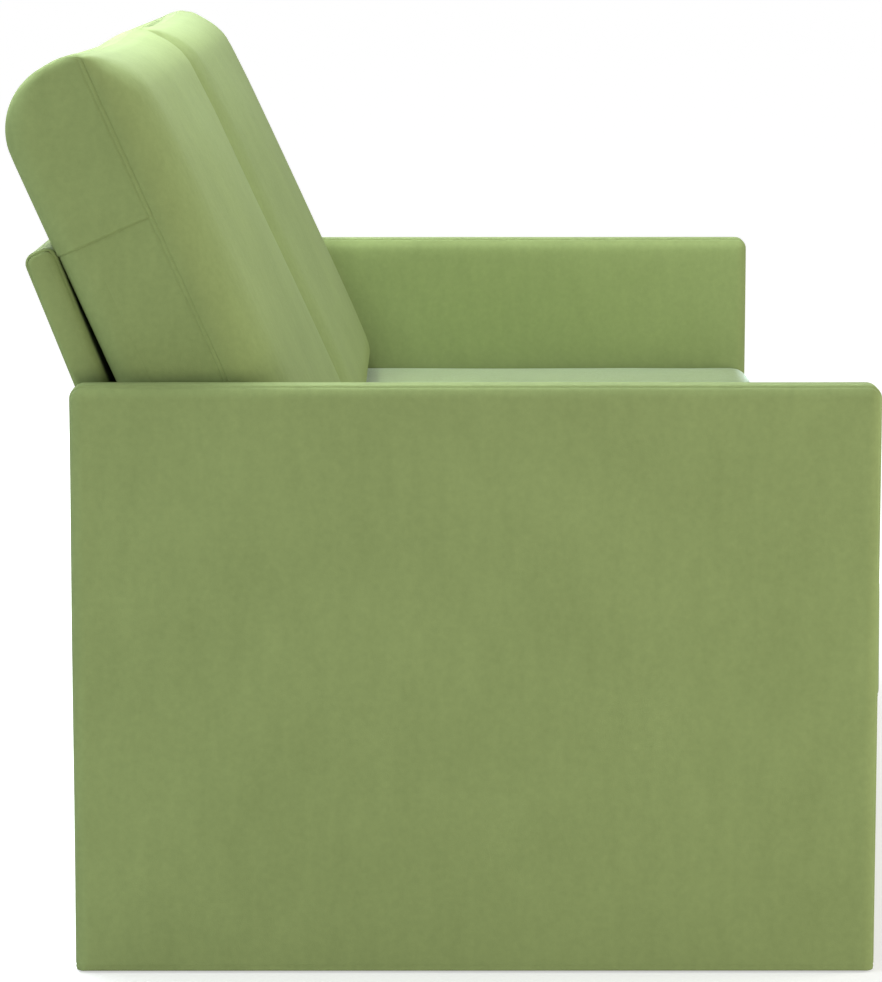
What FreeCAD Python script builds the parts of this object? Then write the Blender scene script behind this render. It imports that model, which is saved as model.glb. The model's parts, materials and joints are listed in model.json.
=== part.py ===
"""Three-seater sofa: slab arms, a seat base, a raked back panel, loose seat cushions and loose back cushions.

Millimetres and degrees. X runs along the sofa, Y from its front to its rear and Z up. Every piece is first
built with Y = 0 at the front of the arms. The finished pieces are then moved so that the origin is on the
floor under the middle of the whole sofa. Pieces of the right-hand side are built at +X, and mirrored for the
left.
"""

import FreeCAD, Part
import math
import os

V = FreeCAD.Vector

# Layers that the upholstery shares
COVER = 1.2                     # thickness of the fabric
BOARD = 3.0                     # hardboard skins on the timber frames
FIT = 0.3                       # clearance round soft layers and between loose pieces

# Slab arms
ARM_HEIGHT = 629.0              # slab alone, above its glides
ARM_DEPTH = 858.0
ARM_CORNER_RADIUS = 22.0        # top corners of the slab's outline
ARM_EDGE_RADIUS = 9.0           # edges between side panels and boxing strip
ARM_TIMBER = 35.0               # thickness of the frame inside
ARM_FOAM = 8.0
ARM_FRONT_POST = 45.0
ARM_REAR_POST = 115.0           # wide enough to carry the raked catch plate
ARM_RAIL = 45.0                 # height of the top and bottom rails
ARM_BOLT_RAIL_BOTTOM = 85.0
ARM_BOLT_RAIL = 150.0           # height of the rail that takes the bolts
ARM_HEM_SLOT = 30.0             # width left open where the cover is turned under
ARM_HEM_END = 30.0              # cover left whole at each end of that slot

# Glides under the arms
GLIDE_HEIGHT = 4.0
GLIDE_RADIUS = 15.0
GLIDE_NAIL_RADIUS = 2.5
GLIDE_NAIL_LENGTH = 30.0

# Seat base
SEAT_HALF_WIDTH = 930.0         # from the middle of the sofa to the inner face of an arm
BASE_BOTTOM = 40.0              # underside of the rails above the floor
BASE_TIMBER = 35.0              # thickness of every base rail
MIDDLE_RAIL = 120.0             # height of the front-to-rear middle rail
SPRING_RAIL = 60.0              # height of the rail that holds the rear spring clips
SPRING_RAIL_GAP = 8.0           # from the spring rail back to the rear rail
CORNER_BLOCK = 60.0             # leg of each triangular corner block
CORNER_BLOCK_HEIGHT = 120.0
CORNER_BLOCK_LIFT = 10.0        # block's underside above the rails' underside
MIDDLE_FOOT_RADIUS = 25.0
FRONT_RECESS = 6.0              # front border behind the front of the arms
BORDER_FOAM = 12.0
BORDER_EDGE_RADIUS = 8.0
BORDER_TURN = 30.0              # fabric turned in over the front rail, top and bottom
BORDER_SIDE_GAP = 1.0           # border covers clear of the arms

# Seat springs
SPRINGS_PER_SEAT = 4
SPRING_RUNS = 20                # straight runs of one zigzag spring
SPRING_WIRE_RADIUS = 2.0
SPRING_RUN_LENGTH = 44.0
SPRING_CLIP_DEPTH = 18.0
SPRING_CLIP_WIDTH = 22.0
SPRING_CLIP_HEIGHT = 8.0
DECK_CLOTH = 2.0

# Seat cushions
SEAT_HEIGHT = 447.0             # top of the crown above the floor
SEAT_CUSHION = 165.0            # height of a cushion with its crown
SEAT_CROWN = 5.0
SEAT_FRONT_PROUD = 10.0         # foremost point in front of the arms
SEAT_FRONT_SWELL = 3.0
SEAT_DRAW = 3.0                 # how far the sides are drawn in between the corners
SEAT_TOP_RADIUS = 28.0
SEAT_BOTTOM_RADIUS = 12.0
SEAT_PLAN_RADIUS = 22.0
SEAT_REAR_GAP = 2.0             # behind the cushion, at the foot of the back panel
SEAT_CROWN_STEPS = ((0.55, 90.0), (0.85, 180.0), (1.0, 270.0))  # share of the crown, distance from the edge
SEAT_FOOT_ANGLES = (0, 30, 60, 90)          # where the lower edge's rounding has an outline
SEAT_TOP_ANGLES = (90, 65, 40, 20)          # the same for the upper edge
CUSHION_GAP = 2.0               # between neighbours, and half of it at an arm
CORNER_SHARE = 0.4              # most of an outline's depth that one corner's radius takes

# Raked back panel
RAKE = 21.3                     # lean of the panel from upright
BACK_LEAN_OUT = 2.5             # rear face behind the arms, at the height of the arms' top
BACK_ABOVE_ARM = 139.0          # panel above that height, along the rake
BACK_TIMBER = 18.0
BACK_FOAM = 3.5
BACK_EDGE_RADIUS = 12.0
BACK_STILE = 60.0
BACK_RAIL = 60.0

# Back cushions
OVERALL_HEIGHT = 978.0          # crest of the back cushions
CUSHION_RAKE = 24.0             # lean of a cushion's rear, which rests on the panel's top edge
CUSHION_FRONT_RAKE = 25.2       # lean of its front
BACK_CUSHION = 170.0            # thickness with the crown, at the height of the arms' top
BACK_CROWN = 8.0                # swell of the front between its corners
BACK_DRAW = 3.0
BACK_REAR_TOP_RADIUS = 72.5
BACK_FRONT_TOP_RADIUS = 78.0
BACK_FRONT_FOOT_RADIUS = 42.0
BACK_REAR_FOOT_RADIUS = 15.0
BACK_SIDE_RADIUS = 25.0         # rear and top edges of the boxing
BACK_FRONT_SIDE_RADIUS = 44.0   # front edges, from the boxing seam to the front
BACK_FOOT_ANGLES = (0, 30, 55, 80)          # where the foot's rounding has an outline
BACK_TOP_ANGLES = (90, 70, 52, 36, 20, 0)   # the same for the crest
BACK_MIDDLE_SHARES = (0, 0.33, 0.67, 1)     # outlines of the straight stretch between them

# Zips
ZIP_WIDTH = 14.0
ZIP_FROM_REAR = 37.0            # middle of the zip in front of a back cushion's rear face
ZIP_ABOVE_ARM = 143.0           # upper end along the lean, level with the panel's top
SEAT_ZIP_HEIGHT = 75.0          # middle of the zip above a seat cushion's underside
SEAT_ZIP_REACH = 120.0          # how far it comes forward along the cushion's sides

# Bolts from the seat base into the arms
BOLT_RADIUS = 4.0
BOLT_LENGTH = 70.0
BOLT_HEAD = 5.3                 # height of the hexagon head
BOLT_HEAD_FLATS = 13.0
WASHER = 1.6
WASHER_RADIUS = 12.0
BOLT_HOLE_GAP = 0.25
INSERT_RADIUS = 6.0
INSERT_LENGTH = 18.0
BOLT_FROM_FRONT = 170.0
BOLT_FROM_REAR = 160.0          # in front of the base's rear face
BOLT_LOW = 120.0
BOLT_HIGH = 200.0

# Catch plates on the arms and tongue plates on the back panel
PLATE = 3.0                     # steel thickness
PLATE_LENGTH = 160.0
PLATE_WIDTH = 36.0
TONGUE_WIDTH = 29.0
TONGUE_LENGTH = 100.0
TONGUE_NECK = 17.0
TONGUE_MOUNT = 15.0             # width of the tongue's plate on the panel's end
PLATE_DROP = 118.0              # middle of the plates below the arms' top, along the rake
PLATE_SCREW_SPREAD = 68.0       # screws from the middle of a plate
SCREW_RADIUS = 2.0
SCREW_HEAD_RADIUS = 3.8
SCREW_HEAD = 2.0
SCREW_LENGTH = 34.0

# Sizes worked out from those above
arm_thick = ARM_TIMBER + 2 * (BOARD + ARM_FOAM + FIT + COVER)
arm_top = GLIDE_HEIGHT + ARM_HEIGHT
arm_middle = SEAT_HALF_WIDTH + arm_thick / 2
arm_skin = COVER + FIT + ARM_FOAM
arm_frame_foot = GLIDE_HEIGHT + COVER + FIT
deck_top = SEAT_HEIGHT - SEAT_CUSHION - FIT
rail_top = deck_top - DECK_CLOTH - FIT - SPRING_CLIP_HEIGHT
front_rail_front = FRONT_RECESS + COVER + FIT + BORDER_FOAM
front_rail_rear = front_rail_front + BASE_TIMBER
back_thick = BACK_TIMBER + 2 * (BOARD + BACK_FOAM + FIT + COVER)
back_skin = COVER + FIT + BACK_FOAM
plate_stack = 4 * PLATE + 2 * FIT      # catch, tongue, lips and the tongue's mount
back_half_width = SEAT_HALF_WIDTH - plate_stack
rake_sin = math.sin(math.radians(RAKE))
rake_cos = math.cos(math.radians(RAKE))
rake_tan = rake_sin / rake_cos


def panel_rear(z):
    """Y of the back panel's rear face at height z."""
    return ARM_DEPTH + BACK_LEAN_OUT + (z - arm_top) * rake_tan


def panel_front(z):
    """Y of the back panel's front face at height z."""
    return panel_rear(z) - back_thick / rake_cos


panel_crest = arm_top + BACK_ABOVE_ARM * rake_cos + back_thick * rake_sin   # height of its top front edge
lean = math.radians(CUSHION_RAKE)
front_lean = math.radians(CUSHION_FRONT_RAKE)


def cushion_rear(z):
    """Y of a back cushion's rear face at height z, where it leans on the panel's top front edge."""
    return panel_front(panel_crest) - FIT / math.cos(lean) - (panel_crest - z) * math.tan(lean)


def cushion_front(z):
    """Y of a back cushion's front face at height z, without its crown."""
    thick = (BACK_CUSHION - BACK_CROWN) / math.cos(lean)
    return cushion_rear(arm_top) - thick + (z - arm_top) * math.tan(front_lean)


rear_rail_front = (panel_rear(rail_top) + panel_front(rail_top) - BASE_TIMBER) / 2
rear_rail_rear = rear_rail_front + BASE_TIMBER
spring_rail_rear = rear_rail_front - SPRING_RAIL_GAP
spring_rail_front = spring_rail_rear - BASE_TIMBER
bolt_depths = (BOLT_FROM_FRONT, rear_rail_rear - BOLT_FROM_REAR)
bolt_places = [(y, z) for y in bolt_depths for z in (BOLT_LOW, BOLT_HIGH)]


# Small makers


def box(x0, x1, y0, y1, z0, z1):
    return Part.makeBox(x1 - x0, y1 - y0, z1 - z0, V(x0, y0, z0))


def wide_box(half_width, y0, y1, z0, z1):
    return box(-half_width, half_width, y0, y1, z0, z1)


def rod(x0, x1, y, z, radius):
    """Round bar along X."""
    return Part.makeCylinder(radius, x1 - x0, V(x0, y, z), V(1, 0, 0))


def cut_all(shape, tools):
    return shape.cut(Part.makeCompound(tools))


def mirrored(shape):
    """The left-hand copy of a right-hand piece."""
    return shape.mirror(V(0, 0, 0), V(1, 0, 0))


def both_sides(shape):
    return Part.makeCompound([shape, mirrored(shape)])


def raked(shape):
    """Lays a piece built upright on the panel's rear face, with Z = 0 at the arms' top, onto the rake."""
    copy = shape.copy()
    copy.rotate(V(0, 0, 0), V(1, 0, 0), -RAKE)
    copy.translate(V(0, ARM_DEPTH + BACK_LEAN_OUT, arm_top))
    return copy


def leaned(shape):
    """Lays a piece built upright on a back cushion's rear, with Z = 0 at the arms' top, onto its lean."""
    copy = shape.copy()
    copy.rotate(V(0, 0, 0), V(1, 0, 0), -CUSHION_RAKE)
    copy.translate(V(0, cushion_rear(arm_top), arm_top))
    return copy


def line(a, b):
    return Part.LineSegment(a, b).toShape()


def arc(a, middle, b):
    return Part.Arc(a, middle, b).toShape()


def round_edges(solid, radius, keep):
    return solid.makeFillet(radius, [edge for edge in solid.Edges if keep(edge)])


# Arms


def arm_slab(inset, foot):
    """Rounded slab of the right arm, drawn in by inset on every side but the foot."""
    radius = ARM_CORNER_RADIUS - inset
    diagonal = radius * (1 - math.sqrt(0.5))
    x = SEAT_HALF_WIDTH + inset
    front = inset
    rear = ARM_DEPTH - inset
    top = arm_top - inset
    start = V(x, front, foot)
    front_low = V(x, front, top - radius)
    front_high = V(x, front + radius, top)
    rear_high = V(x, rear - radius, top)
    rear_low = V(x, rear, top - radius)
    end = V(x, rear, foot)
    outline = Part.Wire([
        line(start, front_low),
        arc(front_low, V(x, front + diagonal, top - diagonal), front_high),
        line(front_high, rear_high),
        arc(rear_high, V(x, rear - diagonal, top - diagonal), rear_low),
        line(rear_low, end),
        line(end, start),
    ])
    slab = Part.Face(outline).extrude(V(arm_thick - 2 * inset, 0, 0))

    def on_side_panel(edge):
        bounds = edge.BoundBox
        return bounds.XLength < FIT and bounds.ZMax > foot + FIT

    return round_edges(slab, ARM_EDGE_RADIUS - inset, on_side_panel)


def arm_hole_tools(extra):
    """Ways for the bolts and the catch plate's screws through the soft layers of the right arm."""
    bolts = [rod(SEAT_HALF_WIDTH, arm_middle, y, z, BOLT_RADIUS + extra) for y, z in bolt_places]
    middle = -back_thick / 2
    radius = SCREW_RADIUS + extra
    screws = [raked(rod(SEAT_HALF_WIDTH, arm_middle, middle, u, radius)) for u in screw_heights()]
    return bolts + screws


def screw_heights():
    return (-PLATE_DROP - PLATE_SCREW_SPREAD, -PLATE_DROP + PLATE_SCREW_SPREAD)


def arm_cover():
    hollow = arm_slab(COVER, GLIDE_HEIGHT + COVER)
    half_slot = ARM_HEM_SLOT / 2
    rear = ARM_DEPTH - ARM_HEM_END
    slot = box(arm_middle - half_slot, arm_middle + half_slot, ARM_HEM_END, rear, 0, arm_top / 2)
    return cut_all(arm_slab(0, GLIDE_HEIGHT), [hollow, slot] + arm_hole_tools(BOLT_HOLE_GAP))


def arm_padding():
    half = ARM_TIMBER / 2 + BOARD
    frame = box(arm_middle - half, arm_middle + half, arm_skin, ARM_DEPTH - arm_skin, 0, arm_top - arm_skin)
    return cut_all(arm_slab(COVER + FIT, arm_frame_foot), [frame] + arm_hole_tools(BOLT_HOLE_GAP))


def arm_board(x0):
    return box(x0, x0 + BOARD, arm_skin, ARM_DEPTH - arm_skin, arm_frame_foot, arm_top - arm_skin)


def arm_inner_board():
    return cut_all(arm_board(arm_middle - ARM_TIMBER / 2 - BOARD), arm_hole_tools(BOLT_HOLE_GAP))


def arm_outer_board():
    return arm_board(arm_middle + ARM_TIMBER / 2)


def arm_timber(y0, y1, z0, z1):
    return box(arm_middle - ARM_TIMBER / 2, arm_middle + ARM_TIMBER / 2, y0, y1, z0, z1)


def glide_places():
    front = arm_skin + ARM_FRONT_POST / 2
    rear = ARM_DEPTH - arm_skin - ARM_REAR_POST / 2
    return (front, rear)


def nail(y, extra):
    foot = V(arm_middle, y, GLIDE_HEIGHT)
    return Part.makeCylinder(GLIDE_NAIL_RADIUS + extra, GLIDE_NAIL_LENGTH + extra, foot)


def arm_front_post():
    post = arm_timber(arm_skin, arm_skin + ARM_FRONT_POST, arm_frame_foot, arm_top - arm_skin)
    return post.cut(nail(glide_places()[0], FIT))


def arm_rear_post():
    rear = ARM_DEPTH - arm_skin
    post = arm_timber(rear - ARM_REAR_POST, rear, arm_frame_foot, arm_top - arm_skin)
    screws = [plate_screw_hole(u) for u in screw_heights()]
    return cut_all(post, screws + [nail(glide_places()[1], FIT)])


def plate_screw_hole(u):
    tip = SEAT_HALF_WIDTH - PLATE + SCREW_LENGTH + FIT
    return raked(rod(SEAT_HALF_WIDTH, tip, -back_thick / 2, u, SCREW_RADIUS + BOLT_HOLE_GAP))


def arm_rail(z0, z1):
    return arm_timber(arm_skin + ARM_FRONT_POST, ARM_DEPTH - arm_skin - ARM_REAR_POST, z0, z1)


def arm_top_rail():
    return arm_rail(arm_top - arm_skin - ARM_RAIL, arm_top - arm_skin)


def arm_bottom_rail():
    return arm_rail(arm_frame_foot, arm_frame_foot + ARM_RAIL)


def arm_bolt_rail():
    x0 = arm_middle - ARM_TIMBER / 2
    tip = bolt_head_face() + BOLT_LENGTH + FIT
    holes = [rod(x0, tip, y, z, BOLT_RADIUS + BOLT_HOLE_GAP) for y, z in bolt_places]
    sockets = [rod(x0, x0 + INSERT_LENGTH, y, z, INSERT_RADIUS + FIT) for y, z in bolt_places]
    rail = arm_rail(ARM_BOLT_RAIL_BOTTOM, ARM_BOLT_RAIL_BOTTOM + ARM_BOLT_RAIL)
    return cut_all(rail, holes + sockets)


def arm_glides():
    pads = []
    for y in glide_places():
        pad = Part.makeCylinder(GLIDE_RADIUS, GLIDE_HEIGHT, V(arm_middle, y, 0))
        pads.append(pad.fuse(nail(y, 0)).removeSplitter())
    return Part.makeCompound(pads)


# Bolts, washers and insert nuts


def bolt_head_face():
    """X of the face under the bolt heads on the right."""
    return SEAT_HALF_WIDTH - BASE_TIMBER - WASHER


def arm_bolt(y, z):
    face = bolt_head_face()
    corner = BOLT_HEAD_FLATS / math.sqrt(3)
    turns = [k * math.pi / 3 for k in range(7)]
    points = [V(face, y + corner * math.sin(turn), z + corner * math.cos(turn)) for turn in turns]
    head = Part.Face(Part.makePolygon(points)).extrude(V(-BOLT_HEAD, 0, 0))
    return head.fuse(rod(face - BOLT_HEAD, face + BOLT_LENGTH, y, z, BOLT_RADIUS)).removeSplitter()


def bolt_washer(y, z):
    face = bolt_head_face()
    hole = rod(face, face + WASHER, y, z, BOLT_RADIUS + BOLT_HOLE_GAP)
    return rod(face, face + WASHER, y, z, WASHER_RADIUS).cut(hole)


def insert_nut(y, z):
    x0 = arm_middle - ARM_TIMBER / 2
    hole = rod(x0, x0 + INSERT_LENGTH, y, z, BOLT_RADIUS + BOLT_HOLE_GAP)
    return rod(x0, x0 + INSERT_LENGTH, y, z, INSERT_RADIUS).cut(hole)


def at_bolts(maker):
    return both_sides(Part.makeCompound([maker(y, z) for y, z in bolt_places]))


# Seat base


def base_front_rail():
    return wide_box(SEAT_HALF_WIDTH, front_rail_front, front_rail_rear, BASE_BOTTOM, rail_top)


def base_rear_rail():
    return wide_box(SEAT_HALF_WIDTH, rear_rail_front, rear_rail_rear, BASE_BOTTOM, rail_top)


def base_side_rail():
    x0 = SEAT_HALF_WIDTH - BASE_TIMBER
    rail = box(x0, SEAT_HALF_WIDTH, front_rail_rear, rear_rail_front, BASE_BOTTOM, rail_top)
    holes = [rod(x0, SEAT_HALF_WIDTH, y, z, BOLT_RADIUS + BOLT_HOLE_GAP) for y, z in bolt_places]
    return cut_all(rail, holes)


def base_middle_rail():
    top = BASE_BOTTOM + MIDDLE_RAIL
    return wide_box(BASE_TIMBER / 2, front_rail_rear, rear_rail_front, BASE_BOTTOM, top)


def base_spring_rail():
    half = SEAT_HALF_WIDTH - BASE_TIMBER
    return wide_box(half, spring_rail_front, spring_rail_rear, rail_top - SPRING_RAIL, rail_top)


def corner_block(y, leg):
    """Triangular block in a right-hand corner of the base, with one leg towards leg's sign along Y."""
    x = SEAT_HALF_WIDTH - BASE_TIMBER
    z = BASE_BOTTOM + CORNER_BLOCK_LIFT
    corner = V(x, y, z)
    triangle = Part.makePolygon([corner, V(x - CORNER_BLOCK, y, z), V(x, y + leg, z), corner])
    return Part.Face(triangle).extrude(V(0, 0, CORNER_BLOCK_HEIGHT))


def base_corner_blocks():
    pair = [corner_block(front_rail_rear, CORNER_BLOCK), corner_block(rear_rail_front, -CORNER_BLOCK)]
    return both_sides(Part.makeCompound(pair))


def middle_foot_place():
    return V(0, (front_rail_rear + rear_rail_front) / 2, 0)


def base_middle_foot():
    return Part.makeCylinder(MIDDLE_FOOT_RADIUS, BASE_BOTTOM, middle_foot_place())


def dust_cover():
    half = SEAT_HALF_WIDTH - BORDER_SIDE_GAP
    front = FRONT_RECESS + BORDER_TURN + FIT
    sheet = wide_box(half, front, rear_rail_rear, BASE_BOTTOM - FIT - COVER, BASE_BOTTOM - FIT)
    return sheet.cut(Part.makeCylinder(MIDDLE_FOOT_RADIUS + FIT, BASE_BOTTOM, middle_foot_place()))


def border_block(inset, depth):
    """Front border with rounded front edges, drawn in by inset at the front, top and bottom."""
    half = SEAT_HALF_WIDTH - BORDER_SIDE_GAP
    y0 = FRONT_RECESS + inset
    block = wide_box(half, y0, FRONT_RECESS + depth, BASE_BOTTOM - FIT - COVER + inset, deck_top - inset)

    def at_front(edge):
        bounds = edge.BoundBox
        return bounds.XLength > half and bounds.YMax < y0 + FIT

    return round_edges(block, BORDER_EDGE_RADIUS - inset, at_front)


def front_border_cover():
    return border_block(0, BORDER_TURN).cut(border_block(COVER, BORDER_TURN))


def front_border_padding():
    half = SEAT_HALF_WIDTH
    rail = wide_box(half, front_rail_front, front_rail_rear, 0, rail_top)
    under = wide_box(half, 0, front_rail_rear, 0, BASE_BOTTOM)
    return cut_all(border_block(COVER + FIT, BORDER_TURN - COVER), [rail, under])


def rear_border_cover():
    half = SEAT_HALF_WIDTH - BORDER_SIDE_GAP
    return wide_box(half, rear_rail_rear, rear_rail_rear + COVER, BASE_BOTTOM, rail_top)


def deck_cloth():
    half = SEAT_HALF_WIDTH - BORDER_SIDE_GAP
    rear = panel_front(deck_top - DECK_CLOTH) - FIT
    return wide_box(half, FRONT_RECESS + BORDER_TURN + FIT, rear, deck_top - DECK_CLOTH, deck_top)


# Zigzag springs


def spring_middles():
    """X of each spring, spread evenly over the two seats."""
    step = SEAT_HALF_WIDTH / SPRINGS_PER_SEAT
    right = [step * (k + 0.5) for k in range(SPRINGS_PER_SEAT)]
    return [-x for x in reversed(right)] + right


def spring_ends():
    """Y of a spring's first and last runs, in the middle of their clips."""
    first = front_rail_rear - SPRING_CLIP_DEPTH / 2
    last = spring_rail_front + SPRING_CLIP_DEPTH / 2
    return (first, last)


def zigzag_spring(x):
    first, last = spring_ends()
    pitch = (last - first) / (SPRING_RUNS - 1)
    radius = pitch / 2
    diagonal = radius * math.sqrt(0.5)
    reach = SPRING_RUN_LENGTH / 2
    z = rail_top + SPRING_CLIP_HEIGHT / 2
    edges = []
    for run in range(SPRING_RUNS):
        side = 1 if run % 2 == 0 else -1
        y = first + run * pitch
        turn = x + side * reach
        edges.append(line(V(x - side * reach, y, z), V(turn, y, z)))
        if run < SPRING_RUNS - 1:
            outer = V(turn + side * radius, y + radius, z)
            near_mid = V(turn + side * diagonal, y + radius - diagonal, z)
            far_mid = V(turn + side * diagonal, y + radius + diagonal, z)
            edges.append(arc(V(turn, y, z), near_mid, outer))
            edges.append(arc(outer, far_mid, V(turn, y + pitch, z)))
    path = Part.Wire(edges)
    section = Part.Wire([Part.makeCircle(SPRING_WIRE_RADIUS, V(x - reach, first, z), V(1, 0, 0))])
    wire = path.makePipeShell([section], True, False)
    print("spring volume share", round(wire.Volume / (math.pi * SPRING_WIRE_RADIUS**2 * path.Length), 4))
    return wire


def seat_springs():
    """The same spring at every place."""
    middles = spring_middles()
    first = zigzag_spring(middles[0])
    return Part.makeCompound([first.translated(V(x - middles[0], 0, 0)) for x in middles])


def spring_clip(x, y):
    z = rail_top + SPRING_CLIP_HEIGHT / 2
    x0 = x - SPRING_CLIP_WIDTH / 2
    x1 = x + SPRING_CLIP_WIDTH / 2
    half = SPRING_CLIP_DEPTH / 2
    body = box(x0, x1, y - half, y + half, rail_top, rail_top + SPRING_CLIP_HEIGHT)
    return body.cut(rod(x0, x1, y, z, SPRING_WIRE_RADIUS + FIT))


def spring_clips():
    return Part.makeCompound([spring_clip(x, y) for x in spring_middles() for y in spring_ends()])


# Raked back panel, built upright and then laid onto the rake


def foot_of_panel():
    """Lower end of the upright panel, below every point of its level foot."""
    return (rail_top - arm_top) / rake_cos - back_thick


def level_foot(shape):
    """Lays a panel piece onto the rake and cuts its foot level on the rear rail."""
    below = wide_box(2 * SEAT_HALF_WIDTH, -ARM_DEPTH, 2 * ARM_DEPTH, -arm_top, rail_top)
    return raked(shape).cut(below)


def panel_slab(inset):
    half = back_half_width - inset
    top = BACK_ABOVE_ARM - inset
    slab = wide_box(half, -back_thick + inset, -inset, foot_of_panel(), top)

    def not_at_foot(edge):
        return edge.BoundBox.ZMax > foot_of_panel() + FIT

    return round_edges(slab, BACK_EDGE_RADIUS - inset, not_at_foot)


def panel_frame_block():
    """Everything inside the panel's padding: the timber and its two boards."""
    rear = -back_skin
    return wide_box(back_half_width - back_skin, rear - BACK_TIMBER - 2 * BOARD, rear, foot_of_panel(),
                    BACK_ABOVE_ARM - back_skin)


def tongue_screw_ways(inner_end):
    """Ways for the tongue plates' screws through both ends of the panel."""
    middle = -back_thick / 2
    radius = SCREW_RADIUS + BOLT_HOLE_GAP
    tools = [rod(inner_end, back_half_width, middle, u, radius) for u in screw_heights()]
    return tools + [mirrored(tool) for tool in tools]


def back_cover():
    shell = panel_slab(0).cut(panel_slab(COVER))
    return level_foot(cut_all(shell, tongue_screw_ways(back_half_width - 2 * COVER)))


def back_padding():
    wrap = panel_slab(COVER + FIT).cut(panel_frame_block())
    return level_foot(cut_all(wrap, tongue_screw_ways(back_half_width - 2 * back_skin)))


def back_board(rear):
    half = back_half_width - back_skin
    return level_foot(wide_box(half, rear - BOARD, rear, foot_of_panel(), BACK_ABOVE_ARM - back_skin))


def back_front_board():
    return back_board(-back_skin - BOARD - BACK_TIMBER)


def back_rear_board():
    return back_board(-back_skin)


def back_bar(x0, x1, z0, z1):
    rear = -back_skin - BOARD
    return box(x0, x1, rear - BACK_TIMBER, rear, z0, z1)


def back_rail_foot():
    """Upper edge of the bottom rail, its lower edge being the level foot."""
    return foot_of_panel() + back_thick + BACK_RAIL


def back_top_rail():
    half = back_half_width - back_skin - BACK_STILE
    top = BACK_ABOVE_ARM - back_skin
    return level_foot(back_bar(-half, half, top - BACK_RAIL, top))


def back_bottom_rail():
    half = back_half_width - back_skin - BACK_STILE
    return level_foot(back_bar(-half, half, foot_of_panel(), back_rail_foot()))


def back_end_stile():
    end = back_half_width - back_skin
    stile = back_bar(end - BACK_STILE, end, foot_of_panel(), BACK_ABOVE_ARM - back_skin)
    tip = back_half_width + PLATE - SCREW_LENGTH - FIT
    return level_foot(cut_all(stile, tongue_screw_ways(tip)))


def back_middle_stile():
    top = BACK_ABOVE_ARM - back_skin - BACK_RAIL
    return level_foot(back_bar(-BACK_STILE / 2, BACK_STILE / 2, back_rail_foot(), top))


# Catch and tongue plates on the right, built upright


def plate(x0, x1, width, length):
    middle = -back_thick / 2
    foot = -PLATE_DROP - length / 2
    return box(x0, x1, middle - width / 2, middle + width / 2, foot, foot + length)


def plate_holes(x0):
    radius = SCREW_RADIUS + BOLT_HOLE_GAP
    return [rod(x0, x0 + PLATE, -back_thick / 2, u, radius) for u in screw_heights()]


def catch_plate():
    face = SEAT_HALF_WIDTH
    lip_face = face - plate_stack + PLATE
    channel_face = face - 2 * PLATE - 2 * FIT
    base = plate(face - PLATE, face, PLATE_WIDTH, PLATE_LENGTH)
    block = plate(lip_face + FIT, face - PLATE, PLATE_WIDTH, TONGUE_LENGTH)
    channel = plate(channel_face, face - PLATE, TONGUE_WIDTH + 2 * FIT, TONGUE_LENGTH)
    neck = plate(lip_face + FIT, channel_face, TONGUE_NECK + 2 * FIT, TONGUE_LENGTH)
    body = base.fuse(cut_all(block, [channel, neck])).removeSplitter()
    return raked(cut_all(body, plate_holes(face - PLATE)))


def tongue_plate():
    face = SEAT_HALF_WIDTH
    mount_face = face - plate_stack
    tongue_face = face - 2 * PLATE - FIT
    mount = plate(mount_face, mount_face + PLATE, TONGUE_MOUNT, PLATE_LENGTH)
    neck = plate(mount_face + PLATE, tongue_face, TONGUE_NECK, TONGUE_LENGTH)
    tongue = plate(tongue_face, tongue_face + PLATE, TONGUE_WIDTH, TONGUE_LENGTH)
    body = mount.fuse(neck).fuse(tongue).removeSplitter()
    return raked(cut_all(body, plate_holes(mount_face)))


def plate_screw(face, inward, u):
    """Screw whose head bears on face and whose shank points along inward's sign of X."""
    middle = -back_thick / 2
    head = Part.makeCylinder(SCREW_HEAD_RADIUS, SCREW_HEAD, V(face, middle, u), V(-inward, 0, 0))
    shank = Part.makeCylinder(SCREW_RADIUS, SCREW_LENGTH, V(face, middle, u), V(inward, 0, 0))
    return raked(head.fuse(shank).removeSplitter())


def back_plate_screws():
    screws = []
    for u in screw_heights():
        screws.append(plate_screw(SEAT_HALF_WIDTH - PLATE, 1, u))
        screws.append(plate_screw(back_half_width + PLATE, -1, u))
    return both_sides(Part.makeCompound(screws))


# Cushions: lofts through level outlines


def corner_arc(x, y, radius, turn):
    """Quarter turn clockwise about (x, y), starting at the angle turn, as its three points."""
    angles = [math.radians(a) for a in (turn, turn - 45, turn - 90)]
    return [(x + radius * math.cos(a), y + radius * math.sin(a)) for a in angles]


def outline(z, sides, front, rear, front_radius, rear_radius, swell, draw):
    """Level outline with a straight rear edge, drawn-in sides and a front that swells."""
    left, right = sides
    depth = rear - front
    front_r = min(front_radius, CORNER_SHARE * depth)
    rear_r = min(rear_radius, CORNER_SHARE * depth)
    corners = [
        corner_arc(right - rear_r, rear - rear_r, rear_r, 90),
        corner_arc(right - front_r, front + front_r, front_r, 0),
        corner_arc(left + front_r, front + front_r, front_r, -90),
        corner_arc(left + rear_r, rear - rear_r, rear_r, 180),
    ]
    half_way = (front + front_r + rear - rear_r) / 2
    side_middles = [(right - draw, half_way), ((left + right) / 2, front - swell), (left + draw, half_way)]
    edges = [line(V(*corners[3][2], z), V(*corners[0][0], z))]
    for place, corner in enumerate(corners):
        edges.append(arc(*[V(*point, z) for point in corner]))
        if place < len(side_middles):
            edges.append(arc(V(*corner[2], z), V(*side_middles[place], z), V(*corners[place + 1][0], z)))
    return Part.Wire(edges)


def loft(outlines):
    return Part.makeLoft(outlines, True, True)


def cushion_sides(inset):
    """X range of a right-hand cushion."""
    return (CUSHION_GAP / 2 + inset, SEAT_HALF_WIDTH - CUSHION_GAP / 2 - inset)


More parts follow.
